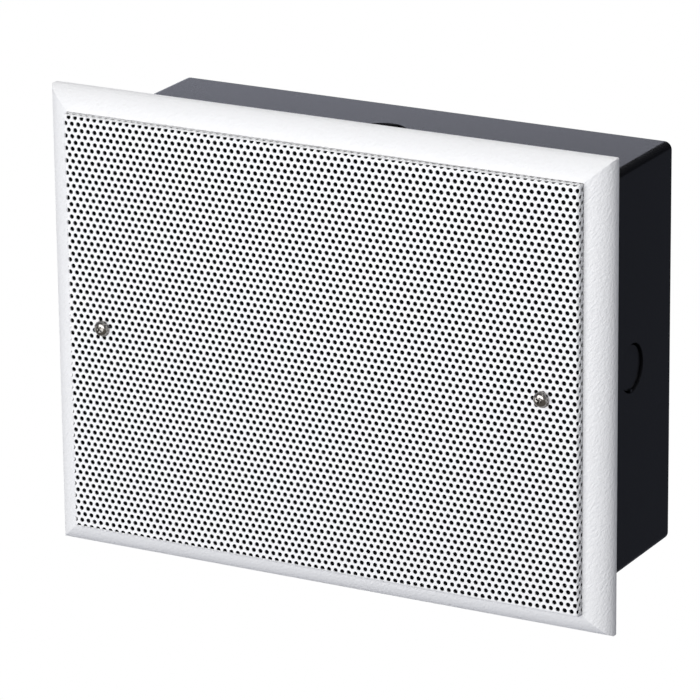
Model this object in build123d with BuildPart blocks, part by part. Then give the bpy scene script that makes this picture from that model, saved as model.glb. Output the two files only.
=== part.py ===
"""In-wall speaker: a bezel with a folded perforated grille, a full-range driver and a steel back box.

Millimetres. The origin is the centre of the bezel on the wall's surface. The front faces -Y, the box
reaches into the wall along +Y, and +Z is up. Plane.XZ.offset(d) lies d in front of the wall.
"""

import math
import os

from build123d import *

# Bezel
FRAME_W = 252.0
FRAME_H = 195.0
FRAME_EDGE = 2.0
FRAME_LIP = 7.8
FRAME_BULGE = 1.2
FRAME_ROUND = 0.6
FRAME_CORNER = 2.0
FRAME_SHEET = 1.4
LEDGE_SEAT = 1.5
LEDGE_SHEET = 1.5
MOUTH_W = 186.0
MOUTH_H = 140.0

# Grille
GRILLE_W = 230.5
GRILLE_H = 175.6
GRILLE_FRONT = 11.4
GRILLE_SHEET = 1.0
GRILLE_BEND = 1.2
GRILLE_GAP = 0.25
CORNER_NOTCH = 2.2
NOTCH_DEPTH = 4.6
HOLE_PITCH = 18.0
HOLE_R = 5.4
HOLE_SIDES = 16
HOLE_MARGIN = 6.0
WASHER_LAND = 0.5
FLEECE_T = 0.5
FLEECE_INSET = 1.0

# Long grille screws, their washers, sleeves and threads
SCREW_X = 99.0
SCREW_R = 1.5
SCREW_HEAD_R = 3.0
SCREW_HEAD_H = 2.4
SCREW_HEAD_ROUND = 1.1
RECESS_L = 3.4
RECESS_W = 0.8
RECESS_DEPTH = 1.3
WASHER_R = 3.6
WASHER_T = 0.5
SLEEVE_R = 3.0
FASTENER_GAP = 0.2
NUT_BODY_R = 2.5
NUT_BODY_L = 9.0
NUT_RIM_R = 4.5
NUT_RIM_T = 0.8
SEAL_GAP = 0.7

# Baffle plate and its screws
BAFFLE_SHEET = 1.5
BAFFLE_SCREW_X = 106.0
BAFFLE_SCREW_Z = 80.0
BAFFLE_SCREW_TIP = 1.2

# Back box
BOX_W = 223.0
BOX_H = 167.5
BOX_DEPTH = 79.0
BOX_DROP = 2.1
BOX_SHEET = 1.5
BOX_BEND = 3.2
BOX_BACK_ROUND = 0.8
GASKET_INSET = 1.0
KNOCKOUT_R = 10.2
KNOCKOUT_Y = 43.5
KNOCKOUT_PUSH = 1.3
FIXING_X = 180.0
FIXING_Z = 120.0
FIXING_R = 2.25

# Driver
RIM_R = 65.0
RIM_SCREW_R = 61.5
RIM_SCREWS = 4
RIM_GASKET_T = 1.5
RIM_GASKET_IN = 59.3
BAFFLE_HOLE_R = 57.0
BASKET_SHEET = 1.0
BASKET_MOUTH_R = 53.4
BASKET_STEP_R = 35.8
BASKET_CAN_R = 30.0
BASKET_STEP_Y = 27.5
BASKET_BASE_Y = 35.0
BASKET_BORE_R = 16.0
WINDOW_R = 45.0
WINDOW_W = 11.0
WINDOW_SWEEP = 52.0
DRIVER_SCREW_R = 2.0
DRIVER_HEAD_R = 4.0
DRIVER_HEAD_H = 2.2
DRIVER_NUT_FLATS = 7.0
DRIVER_NUT_T = 3.2
DRIVER_SCREW_TIP = 0.8
SURROUND_T = 0.5
SURROUND_GAP = 0.3
SURROUND_LAND = 4.2
ROLL_R = 4.3
SURROUND_LIP = 3.2
CONE_T = 0.7
CONE_DEPTH = 20.9
SOFT_GAP = 0.2
CAP_R = 17.5
CAP_H = 5.0
CAP_T = 0.6
COIL_R = 12.7
FORMER_T = 0.3
FORMER_END = 45.0
WINDING_T = 0.6
WINDING_L = 11.0
COIL_GAP = 0.4
SPIDER_T = 0.5
SPIDER_LAND = 4.0
SPIDER_WAVES = 6
SPIDER_WAVE_H = 1.0
TOP_PLATE_R = 32.0
TOP_PLATE_T = 5.0
MAGNET_R = 37.5
MAGNET_BORE_R = 19.0
MAGNET_T = 14.0
MAGNET_CHAMFER = 1.0
YOKE_T = 5.0
VENT_R = 3.0

# Connections
POLE_PITCH = 11.0
STRIP_L = 14.4
STRIP_W = 19.0
STRIP_T = 1.5
STRIP_GAP = 0.6
TAG_START = 7.0
TAG_L = 14.0
TAG_W = 4.0
TAG_T = 0.6
TAG_HOLE_R = 0.8
TAG_EDGE = 2.2
BLOCK_X = 82.0
BLOCK_L = 20.0
BLOCK_W = 24.0
BLOCK_H = 15.8
BLOCK_BORE_R = 3.0
BLOCK_BORE_Y = 8.3
CLAMP_WALL = 1.3
CLAMP_INSET = 1.0
CLAMP_SCREW_X = 6.0
CLAMP_SCREW_R = 1.25
CLAMP_SCREW_SUNK = 0.8
BLOCK_SCREW_R = 1.5
BLOCK_HEAD_R = 2.6
BLOCK_HEAD_H = 2.0
BLOCK_HEAD_SUNK = 1.0
WIRE_R = 0.9
WIRE_BEND = 9.0
WIRE_TAG_X = 5.0
WIRE_END = 3.0
FIT_GAP = 0.05

# Damping pad on the back wall
PAD_T = 10.0
PAD_LEFT = -104.0
PAD_RIGHT = 40.0
PAD_MARGIN = 4.0
PAD_HOLE_R = 7.0

# Places that follow from the sizes above, as distances in front of the wall or as Y into it
OPENING_W = GRILLE_W + 2 * GRILLE_GAP
OPENING_H = GRILLE_H + 2 * GRILLE_GAP
LEDGE_FRONT = LEDGE_SEAT + LEDGE_SHEET
BAFFLE_FRONT = LEDGE_FRONT + BAFFLE_SHEET
GRILLE_BACK = GRILLE_FRONT - GRILLE_SHEET
WASHER_FRONT = GRILLE_FRONT + WASHER_T
BOX_Z = -BOX_DROP
BACK_WALL = BOX_DEPTH - BOX_SHEET
SCREW_HOLE_R = SCREW_R + FASTENER_GAP
RIM_FRONT = RIM_GASKET_T - LEDGE_FRONT
RIM_BACK = RIM_FRONT + BASKET_SHEET
STEP_BACK = BASKET_STEP_Y + BASKET_SHEET
DRIVER_AXIS = Axis((0, 0, BOX_Z), (0, 1, 0))
FORMER_R = COIL_R + FORMER_T
SURROUND_R = RIM_GASKET_IN - SURROUND_GAP
ROLL_OUT = SURROUND_R - SURROUND_LAND
ROLL_MID = ROLL_OUT - ROLL_R
ROLL_IN = ROLL_MID - ROLL_R
LIP_IN = ROLL_IN - SURROUND_LIP
SURROUND_FRONT = RIM_FRONT - SURROUND_T
CONE_FRONT = RIM_FRONT + SOFT_GAP
NECK_R = FORMER_R + FIT_GAP
NECK_Y = CONE_FRONT + CONE_DEPTH
CONE_SLOPE = CONE_DEPTH / (LIP_IN - NECK_R)
CONE_WALL = CONE_T * math.hypot(1.0, CONE_SLOPE)
TOP_PLATE_BACK = BASKET_BASE_Y + TOP_PLATE_T
MAGNET_BACK = TOP_PLATE_BACK + MAGNET_T
WINDING_MID = BASKET_BASE_Y + TOP_PLATE_T / 2
GAP_R = FORMER_R + WINDING_T + COIL_GAP
STRIP_X = BASKET_CAN_R + BASKET_SHEET + STRIP_GAP
STRIP_BACK = STEP_BACK + STRIP_T
TAG_X = STRIP_X + TAG_START
TAG_END = TAG_X + TAG_L
WIRE_X = TAG_END - WIRE_TAG_X
BLOCK_FRONT = BACK_WALL - BLOCK_H
BORE_Y = BACK_WALL - BLOCK_BORE_Y

os.makedirs("parts", exist_ok=True)

# Bezel: two bevelled bars crossed give the mitres, then the channel behind the bevel is taken out
with BuildPart() as front_frame:
    with BuildSketch(Plane.XY) as across:
        with BuildLine():
            Line((0, 0), (FRAME_W / 2, 0))
            Line((FRAME_W / 2, 0), (FRAME_W / 2, -FRAME_EDGE))
            SagittaArc((FRAME_W / 2, -FRAME_EDGE), (OPENING_W / 2, -FRAME_LIP), FRAME_BULGE)
            Line((OPENING_W / 2, -FRAME_LIP), (0, -FRAME_LIP))
            Line((0, -FRAME_LIP), (0, 0))
        make_face()
        fillet(across.vertices().group_by(Axis.X)[-1].sort_by(Axis.Y)[0], FRAME_ROUND)
        mirror(about=Plane.YZ)
    extrude(amount=FRAME_H / 2, both=True)
    with BuildSketch(Plane.YZ) as along:
        with BuildLine():
            Line((0, 0), (0, FRAME_H / 2))
            Line((0, FRAME_H / 2), (-FRAME_EDGE, FRAME_H / 2))
            SagittaArc((-FRAME_EDGE, FRAME_H / 2), (-FRAME_LIP, OPENING_H / 2), -FRAME_BULGE)
            Line((-FRAME_LIP, OPENING_H / 2), (-FRAME_LIP, 0))
            Line((-FRAME_LIP, 0), (0, 0))
        make_face()
        fillet(along.vertices().group_by(Axis.Y)[-1].sort_by(Axis.X)[0], FRAME_ROUND)
        mirror(about=Plane.XZ)
    extrude(amount=FRAME_W / 2, both=True, mode=Mode.INTERSECT)
    with BuildSketch(Plane.XZ) as outline:
        RectangleRounded(FRAME_W, FRAME_H, FRAME_CORNER)
    extrude(amount=FRAME_LIP, mode=Mode.INTERSECT)

with BuildPart() as frame_channel:
    with BuildSketch(Plane.XY) as channel_across:
        with BuildLine():
            Line((0, 0), (FRAME_W / 2 - FRAME_SHEET, 0))
            Line((FRAME_W / 2 - FRAME_SHEET, 0), (FRAME_W / 2 - FRAME_SHEET, FRAME_SHEET / 2 - FRAME_EDGE))
            SagittaArc(
                (FRAME_W / 2 - FRAME_SHEET, FRAME_SHEET / 2 - FRAME_EDGE),
                (OPENING_W / 2, FRAME_SHEET - FRAME_LIP),
                FRAME_BULGE,
            )
            Line((OPENING_W / 2, FRAME_SHEET - FRAME_LIP), (0, FRAME_SHEET - FRAME_LIP))
            Line((0, FRAME_SHEET - FRAME_LIP), (0, 0))
        make_face()
        mirror(about=Plane.YZ)
    extrude(amount=FRAME_H / 2, both=True)
    with BuildSketch(Plane.YZ) as channel_along:
        with BuildLine():
            Line((0, 0), (0, FRAME_H / 2 - FRAME_SHEET))
            Line((0, FRAME_H / 2 - FRAME_SHEET), (FRAME_SHEET / 2 - FRAME_EDGE, FRAME_H / 2 - FRAME_SHEET))
            SagittaArc(
                (FRAME_SHEET / 2 - FRAME_EDGE, FRAME_H / 2 - FRAME_SHEET),
                (FRAME_SHEET - FRAME_LIP, OPENING_H / 2),
                -FRAME_BULGE,
            )
            Line((FRAME_SHEET - FRAME_LIP, OPENING_H / 2), (FRAME_SHEET - FRAME_LIP, 0))
            Line((FRAME_SHEET - FRAME_LIP, 0), (0, 0))
        make_face()
        mirror(about=Plane.XZ)
    extrude(amount=FRAME_W / 2, both=True, mode=Mode.INTERSECT)
    with BuildSketch(Plane.XZ) as channel_core:
        Rectangle(OPENING_W + 2 * FRAME_SHEET, OPENING_H + 2 * FRAME_SHEET)
    extrude(amount=FRAME_LIP, mode=Mode.SUBTRACT)

with front_frame:
    add(frame_channel.part, mode=Mode.SUBTRACT)
    with BuildSketch(Plane.XZ.offset(LEDGE_FRONT)) as grille_pocket:
        Rectangle(OPENING_W, OPENING_H)
    extrude(amount=FRAME_LIP, mode=Mode.SUBTRACT)
    with BuildSketch(Plane.XZ) as gasket_pocket:
        Rectangle(OPENING_W, OPENING_H)
    extrude(amount=LEDGE_SEAT, mode=Mode.SUBTRACT)
    with BuildSketch(Plane.XZ.offset(LEDGE_SEAT)) as ledge_cuts:
        with Locations((0, BOX_Z)):
            Rectangle(MOUTH_W, MOUTH_H)
        with Locations((SCREW_X, 0), (-SCREW_X, 0)):
            Circle(SCREW_HOLE_R)
        with GridLocations(2 * BAFFLE_SCREW_X, 2 * BAFFLE_SCREW_Z, 2, 2):
            Circle(SCREW_HOLE_R)
    extrude(amount=LEDGE_SHEET, mode=Mode.SUBTRACT)

front_frame.part.label = "front_frame"
export_step(front_frame.part, "parts/front_frame.step")

# Grille: a tray folded from one sheet, notched where the flanges meet, with staggered holes
with BuildPart() as grille:
    with BuildSketch(Plane.XZ.offset(BAFFLE_FRONT)) as tray:
        Rectangle(GRILLE_W, GRILLE_H)
    extrude(amount=GRILLE_FRONT - BAFFLE_FRONT)
    fillet(grille.faces().sort_by(Axis.Y)[0].edges(), GRILLE_BEND)
    with BuildSketch(Plane.XZ.offset(BAFFLE_FRONT)) as tray_inside:
        Rectangle(GRILLE_W - 2 * GRILLE_SHEET, GRILLE_H - 2 * GRILLE_SHEET)
    extrude(amount=GRILLE_BACK - BAFFLE_FRONT, mode=Mode.SUBTRACT)
    with BuildSketch(Plane.XZ.offset(BAFFLE_FRONT)) as notches:
        with GridLocations(GRILLE_W, GRILLE_H, 2, 2):
            Rectangle(2 * CORNER_NOTCH, 2 * CORNER_NOTCH)
    extrude(amount=NOTCH_DEPTH, mode=Mode.SUBTRACT)
    row_rise = HOLE_PITCH * math.sqrt(3)
    field_w = GRILLE_W - 2 * (HOLE_MARGIN + HOLE_R)
    field_h = GRILLE_H - 2 * (HOLE_MARGIN + HOLE_R)
    even_columns = 2 * int((field_w / HOLE_PITCH + 1) / 2)
    odd_columns = even_columns - 1
    if even_columns * HOLE_PITCH <= field_w:
        odd_columns = even_columns + 1
    even_rows = 2 * int(field_h / row_rise / 2) + 1
    odd_rows = 2 * int((field_h / row_rise + 1) / 2)
    even_grid = GridLocations(HOLE_PITCH, row_rise, even_columns, even_rows)
    odd_grid = GridLocations(HOLE_PITCH, row_rise, odd_columns, odd_rows)
    clear_of_screw = WASHER_R + WASHER_LAND + HOLE_R
    hole_spots = []
    for spot in even_grid.local_locations + odd_grid.local_locations:
        if math.hypot(abs(spot.position.X) - SCREW_X, spot.position.Y) > clear_of_screw:
            hole_spots.append(spot)
    with BuildSketch(Plane.XZ.offset(GRILLE_BACK)) as perforation:
        with Locations(*hole_spots):
            RegularPolygon(HOLE_R, HOLE_SIDES)
        with Locations((SCREW_X, 0), (-SCREW_X, 0)):
            Circle(SCREW_HOLE_R)
    extrude(amount=GRILLE_SHEET, mode=Mode.SUBTRACT)

grille.part.label = "grille"
export_step(grille.part, "parts/grille.step")

with BuildPart() as acoustic_fleece:
    with BuildSketch(Plane.XZ.offset(GRILLE_BACK - FLEECE_T)) as cloth:
        Rectangle(
            GRILLE_W - 2 * (GRILLE_SHEET + FLEECE_INSET),
            GRILLE_H - 2 * (GRILLE_SHEET + FLEECE_INSET),
        )
        with Locations((SCREW_X, 0), (-SCREW_X, 0)):
            Circle(SLEEVE_R + FASTENER_GAP, mode=Mode.SUBTRACT)
    extrude(amount=FLEECE_T)

acoustic_fleece.part.label = "acoustic_fleece"
export_step(acoustic_fleece.part, "parts/acoustic_fleece.step")

# Long screws through the grille, with what they pass through
with BuildPart() as grille_screws:
    with BuildSketch(Plane.XZ.offset(WASHER_FRONT)) as heads:
        with Locations((SCREW_X, 0), (-SCREW_X, 0)):
            Circle(SCREW_HEAD_R)
    extrude(amount=SCREW_HEAD_H)
    head_rims = grille_screws.edges().filter_by(GeomType.CIRCLE).group_by(Axis.Y)[0]
    fillet(head_rims, SCREW_HEAD_ROUND)
    with BuildSketch(Plane.XZ.offset(WASHER_FRONT + SCREW_HEAD_H)) as recesses:
        with Locations((SCREW_X, 0), (-SCREW_X, 0)):
            Rectangle(RECESS_L, RECESS_W)
            Rectangle(RECESS_W, RECESS_L)
    extrude(amount=-RECESS_DEPTH, mode=Mode.SUBTRACT)
    with BuildSketch(Plane.XZ.offset(WASHER_FRONT)) as shanks:
        with Locations((SCREW_X, 0), (-SCREW_X, 0)):
            Circle(SCREW_R)
    extrude(amount=-(WASHER_FRONT + NUT_BODY_L))

grille_screws.part.label = "grille_screws"
export_step(grille_screws.part, "parts/grille_screws.step")

with BuildPart() as grille_screw_washers:
    with BuildSketch(Plane.XZ.offset(GRILLE_FRONT)) as washer_rings:
        with Locations((SCREW_X, 0), (-SCREW_X, 0)):
            Circle(WASHER_R)
            Circle(SCREW_HOLE_R, mode=Mode.SUBTRACT)
    extrude(amount=WASHER_T)

grille_screw_washers.part.label = "grille_screw_washers"
export_step(grille_screw_washers.part, "parts/grille_screw_washers.step")

with BuildPart() as spacer_sleeves:
    with BuildSketch(Plane.XZ.offset(BAFFLE_FRONT)) as sleeve_rings:
        with Locations((SCREW_X, 0), (-SCREW_X, 0)):
            Circle(SLEEVE_R)
            Circle(SCREW_HOLE_R, mode=Mode.SUBTRACT)
    extrude(amount=GRILLE_BACK - BAFFLE_FRONT)

spacer_sleeves.part.label = "spacer_sleeves"
export_step(spacer_sleeves.part, "parts/spacer_sleeves.step")

with BuildPart() as rivet_nuts:
    with BuildSketch(Plane.XZ) as nut_rims:
        with Locations((SCREW_X, 0), (-SCREW_X, 0)):
            Circle(NUT_RIM_R)
    extrude(amount=NUT_RIM_T)
    with BuildSketch(Plane.XZ) as nut_bodies:
        with Locations((SCREW_X, 0), (-SCREW_X, 0)):
            Circle(NUT_BODY_R)
    extrude(amount=-NUT_BODY_L)
    with BuildSketch(Plane.XZ.offset(NUT_RIM_T)) as nut_bores:
        with Locations((SCREW_X, 0), (-SCREW_X, 0)):
            Circle(SCREW_R + FASTENER_GAP / 2)
    extrude(amount=-(NUT_RIM_T + NUT_BODY_L), mode=Mode.SUBTRACT)

rivet_nuts.part.label = "rivet_nuts"
export_step(rivet_nuts.part, "parts/rivet_nuts.step")

# Baffle plate on the bezel's ledge
with BuildPart() as baffle_plate:
    with BuildSketch(Plane.XZ.offset(LEDGE_FRONT)) as plate:
        Rectangle(GRILLE_W, GRILLE_H)
        with Locations((0, BOX_Z)):
            Circle(BAFFLE_HOLE_R, mode=Mode.SUBTRACT)
        with Locations((0, BOX_Z)):
            with PolarLocations(RIM_SCREW_R, RIM_SCREWS, start_angle=45):
                Circle(DRIVER_SCREW_R + FASTENER_GAP, mode=Mode.SUBTRACT)
        with Locations((SCREW_X, 0), (-SCREW_X, 0)):
            Circle(SCREW_HOLE_R, mode=Mode.SUBTRACT)
        with GridLocations(2 * BAFFLE_SCREW_X, 2 * BAFFLE_SCREW_Z, 2, 2):
            Circle(SCREW_HOLE_R, mode=Mode.SUBTRACT)
    extrude(amount=BAFFLE_SHEET)

baffle_plate.part.label = "baffle_plate"
export_step(baffle_plate.part, "parts/baffle_plate.step")

with BuildPart() as baffle_screws:
    with BuildSketch(Plane.XZ.offset(BAFFLE_FRONT)) as baffle_heads:
        with GridLocations(2 * BAFFLE_SCREW_X, 2 * BAFFLE_SCREW_Z, 2, 2):
            Circle(SCREW_HEAD_R)
    extrude(amount=SCREW_HEAD_H)
    with BuildSketch(Plane.XZ.offset(BAFFLE_FRONT)) as baffle_shanks:
        with GridLocations(2 * BAFFLE_SCREW_X, 2 * BAFFLE_SCREW_Z, 2, 2):
            Circle(SCREW_R)
    extrude(amount=-(BAFFLE_SHEET + LEDGE_SHEET + BAFFLE_SCREW_TIP))

baffle_screws.part.label = "baffle_screws"
export_step(baffle_screws.part, "parts/baffle_screws.step")

with BuildPart() as box_gasket:
    with BuildSketch(Plane.XZ) as seal:
        Rectangle(OPENING_W - 2 * GASKET_INSET, OPENING_H - 2 * GASKET_INSET)
        with Locations((0, BOX_Z)):
            Rectangle(MOUTH_W + 2 * GASKET_INSET, MOUTH_H + 2 * GASKET_INSET, mode=Mode.SUBTRACT)
        with Locations((SCREW_X, 0), (-SCREW_X, 0)):
            Circle(NUT_RIM_R + SEAL_GAP, mode=Mode.SUBTRACT)
        with GridLocations(2 * BAFFLE_SCREW_X, 2 * BAFFLE_SCREW_Z, 2, 2):
            Circle(SCREW_R + SEAL_GAP, mode=Mode.SUBTRACT)
    extrude(amount=LEDGE_SEAT)

box_gasket.part.label = "box_gasket"
export_step(box_gasket.part, "parts/box_gasket.step")

# Back box: folded walls, front flange, and knockouts sheared inwards by most of the sheet
with BuildPart() as back_box:
    with BuildSketch(Plane.XZ) as wrap:
        with Locations((0, BOX_Z)):
            RectangleRounded(BOX_W, BOX_H, BOX_BEND)
    extrude(amount=-BOX_DEPTH)
    fillet(back_box.faces().sort_by(Axis.Y)[-1].edges(), BOX_BACK_ROUND)
    with BuildSketch(Plane.XZ.offset(-BOX_SHEET)) as cavity:
        with Locations((0, BOX_Z)):
            RectangleRounded(BOX_W - 2 * BOX_SHEET, BOX_H - 2 * BOX_SHEET, BOX_BEND - BOX_SHEET)
    extrude(amount=-(BOX_DEPTH - 2 * BOX_SHEET), mode=Mode.SUBTRACT)
    with BuildSketch(Plane.XZ) as flange_cuts:
        with Locations((0, BOX_Z)):
            Rectangle(MOUTH_W, MOUTH_H)
        with Locations((SCREW_X, 0), (-SCREW_X, 0)):
            Circle(NUT_BODY_R + FASTENER_GAP / 2)
    extrude(amount=-BOX_SHEET, mode=Mode.SUBTRACT)
    with BuildSketch(Plane.XZ.offset(-BACK_WALL)) as back_cuts:
        with Locations((0, BOX_Z)):
            with GridLocations(FIXING_X, FIXING_Z, 2, 2):
                Circle(FIXING_R)
        with Locations((BLOCK_X, BOX_Z)):
            Circle(BLOCK_SCREW_R + FASTENER_GAP / 2)
    extrude(amount=-BOX_SHEET, mode=Mode.SUBTRACT)
    walls = [
        ((0, KNOCKOUT_Y, BOX_Z + BOX_H / 2), (0, 0, 1)),
        ((0, KNOCKOUT_Y, BOX_Z - BOX_H / 2), (0, 0, -1)),
        ((BOX_W / 2, KNOCKOUT_Y, BOX_Z), (1, 0, 0)),
        ((-BOX_W / 2, KNOCKOUT_Y, BOX_Z), (-1, 0, 0)),
    ]
    for centre, outward in walls:
        with BuildSketch(Plane(origin=centre, x_dir=(0, 1, 0), z_dir=outward)) as dent:
            Circle(KNOCKOUT_R)
        extrude(amount=-(BOX_SHEET + KNOCKOUT_PUSH))
        with BuildSketch(Plane(origin=centre, x_dir=(0, 1, 0), z_dir=outward)) as recess:
            Circle(KNOCKOUT_R)
        extrude(amount=-KNOCKOUT_PUSH, mode=Mode.SUBTRACT)

back_box.part.label = "back_box"
export_step(back_box.part, "parts/back_box.step")

# Driver, turned about its own axis; radius across, Y along
with BuildPart() as driver_gasket:
    with BuildSketch(Plane.XZ.offset(LEDGE_FRONT)) as rim_ring:
        with Locations((0, BOX_Z)):
            Circle(RIM_R)
            Circle(RIM_GASKET_IN, mode=Mode.SUBTRACT)
            with PolarLocations(RIM_SCREW_R, RIM_SCREWS, start_angle=45):
                Circle(DRIVER_SCREW_R + FASTENER_GAP, mode=Mode.SUBTRACT)
    extrude(amount=-RIM_GASKET_T)

driver_gasket.part.label = "driver_gasket"
export_step(driver_gasket.part, "parts/driver_gasket.step")

with BuildPart() as driver_basket:
    with BuildSketch(Plane.XY.offset(BOX_Z)) as pressing:
        with BuildLine():
            Polyline(
                (RIM_R, RIM_FRONT),
                (RIM_R, RIM_BACK),
                (BASKET_MOUTH_R + BASKET_SHEET, RIM_BACK),
                (BASKET_STEP_R + BASKET_SHEET, STEP_BACK),
                (BASKET_CAN_R + BASKET_SHEET, STEP_BACK),
                (BASKET_CAN_R + BASKET_SHEET, BASKET_BASE_Y),
                (BASKET_BORE_R, BASKET_BASE_Y),
                (BASKET_BORE_R, BASKET_BASE_Y - BASKET_SHEET),
                (BASKET_CAN_R, BASKET_BASE_Y - BASKET_SHEET),
                (BASKET_CAN_R, BASKET_STEP_Y),
                (BASKET_STEP_R, BASKET_STEP_Y),
                (BASKET_MOUTH_R, RIM_FRONT),
                close=True,
            )
        make_face()
    revolve(axis=DRIVER_AXIS)
    with BuildSketch(Plane.XZ.offset(-RIM_BACK)) as windows:
        with Locations((0, BOX_Z)):
            with PolarLocations(0, RIM_SCREWS):
                SlotArc(CenterArc((0, 0), WINDOW_R, -WINDOW_SWEEP / 2, WINDOW_SWEEP), WINDOW_W)
    extrude(amount=-(BASKET_STEP_Y - RIM_BACK), mode=Mode.SUBTRACT)
    with BuildSketch(Plane.XZ.offset(-RIM_BACK)) as rim_holes:
        with Locations((0, BOX_Z)):
            with PolarLocations(RIM_SCREW_R, RIM_SCREWS, start_angle=45):
                Circle(DRIVER_SCREW_R + FASTENER_GAP)
    extrude(amount=BASKET_SHEET, mode=Mode.SUBTRACT)

driver_basket.part.label = "driver_basket"
export_step(driver_basket.part, "parts/driver_basket.step")

with BuildPart() as driver_screws:
    with BuildSketch(Plane.XZ.offset(BAFFLE_FRONT)) as driver_heads:
        with Locations((0, BOX_Z)):
            with PolarLocations(RIM_SCREW_R, RIM_SCREWS, start_angle=45):
                Circle(DRIVER_HEAD_R)
    extrude(amount=DRIVER_HEAD_H)
    with BuildSketch(Plane.XZ.offset(BAFFLE_FRONT)) as driver_shanks:
        with Locations((0, BOX_Z)):
            with PolarLocations(RIM_SCREW_R, RIM_SCREWS, start_angle=45):
                Circle(DRIVER_SCREW_R)
    extrude(amount=-(BAFFLE_FRONT + RIM_BACK + DRIVER_NUT_T + DRIVER_SCREW_TIP))

driver_screws.part.label = "driver_screws"
export_step(driver_screws.part, "parts/driver_screws.step")

with BuildPart() as driver_nuts:
    with BuildSketch(Plane.XZ.offset(-RIM_BACK)) as hexagons:
        with Locations((0, BOX_Z)):
            with PolarLocations(RIM_SCREW_R, RIM_SCREWS, start_angle=45):
                RegularPolygon(DRIVER_NUT_FLATS / 2, 6, major_radius=False)
                Circle(DRIVER_SCREW_R + FASTENER_GAP / 2, mode=Mode.SUBTRACT)
    extrude(amount=-DRIVER_NUT_T)

driver_nuts.part.label = "driver_nuts"
export_step(driver_nuts.part, "parts/driver_nuts.step")

with BuildPart() as surround:
    with BuildSketch(Plane.XY.offset(BOX_Z)) as roll:
        with BuildLine():
            Line((SURROUND_R, RIM_FRONT), (SURROUND_R, SURROUND_FRONT))
            Line((SURROUND_R, SURROUND_FRONT), (ROLL_OUT, SURROUND_FRONT))
            ThreePointArc(
                (ROLL_OUT, SURROUND_FRONT),
                (ROLL_MID, SURROUND_FRONT - ROLL_R),
                (ROLL_IN, SURROUND_FRONT),
            )
            Line((ROLL_IN, SURROUND_FRONT), (LIP_IN, SURROUND_FRONT))
            Line((LIP_IN, SURROUND_FRONT), (LIP_IN, RIM_FRONT))
            Line((LIP_IN, RIM_FRONT), (ROLL_IN + SURROUND_T, RIM_FRONT))
            ThreePointArc(
                (ROLL_IN + SURROUND_T, RIM_FRONT),
                (ROLL_MID, SURROUND_FRONT - ROLL_R + SURROUND_T),
                (ROLL_OUT - SURROUND_T, RIM_FRONT),
            )
            Line((ROLL_OUT - SURROUND_T, RIM_FRONT), (SURROUND_R, RIM_FRONT))
        make_face()
    revolve(axis=DRIVER_AXIS)

surround.part.label = "surround"
export_step(surround.part, "parts/surround.step")

with BuildPart() as cone:
    with BuildSketch(Plane.XY.offset(BOX_Z)) as paper:
        with BuildLine():
            Polyline(
                (ROLL_IN, CONE_FRONT),
                (LIP_IN, CONE_FRONT),
                (NECK_R, NECK_Y),
                (NECK_R, NECK_Y + CONE_WALL),
                (LIP_IN + (CONE_WALL - CONE_T) / CONE_SLOPE, CONE_FRONT + CONE_T),
                (ROLL_IN, CONE_FRONT + CONE_T),
                close=True,
            )
        make_face()
    revolve(axis=DRIVER_AXIS)

cone.part.label = "cone"
export_step(cone.part, "parts/cone.step")

with BuildPart() as dust_cap:
    cap_base = NECK_Y - (CAP_R - NECK_R) * CONE_SLOPE - 2 * FIT_GAP
    dome_r = (CAP_R**2 + CAP_H**2) / (2 * CAP_H)
    dome_y = cap_base - CAP_H + dome_r
    inner_r = dome_r - CAP_T
    inner_base = math.sqrt(inner_r**2 - (dome_y - cap_base) ** 2)
    with BuildSketch(Plane.XY.offset(BOX_Z)) as dome:
        with BuildLine():
            Line((0, dome_y - dome_r), (0, dome_y - inner_r))
            ThreePointArc(
                (0, dome_y - inner_r),
                (CAP_R / 2, dome_y - math.sqrt(inner_r**2 - CAP_R**2 / 4)),
                (inner_base, cap_base),
            )
            Line((inner_base, cap_base), (CAP_R, cap_base))
            ThreePointArc(
                (CAP_R, cap_base),
                (CAP_R / 2, dome_y - math.sqrt(dome_r**2 - CAP_R**2 / 4)),
                (0, dome_y - dome_r),
            )
        make_face()
    revolve(axis=DRIVER_AXIS)

dust_cap.part.label = "dust_cap"
export_step(dust_cap.part, "parts/dust_cap.step")

with BuildPart() as voice_coil_former:
    with BuildSketch(Plane.XZ.offset(-(NECK_Y - CONE_T))) as former_ring:
        with Locations((0, BOX_Z)):
            Circle(FORMER_R)
            Circle(COIL_R, mode=Mode.SUBTRACT)
    extrude(amount=-(FORMER_END - NECK_Y + CONE_T))

voice_coil_former.part.label = "voice_coil_former"
export_step(voice_coil_former.part, "parts/voice_coil_former.step")

with BuildPart() as voice_coil_winding:
    with BuildSketch(Plane.XZ.offset(WINDING_L / 2 - WINDING_MID)) as winding_ring:
        with Locations((0, BOX_Z)):
            Circle(FORMER_R + WINDING_T)
            Circle(FORMER_R, mode=Mode.SUBTRACT)
    extrude(amount=-WINDING_L)

voice_coil_winding.part.label = "voice_coil_winding"
export_step(voice_coil_winding.part, "parts/voice_coil_winding.step")

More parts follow.
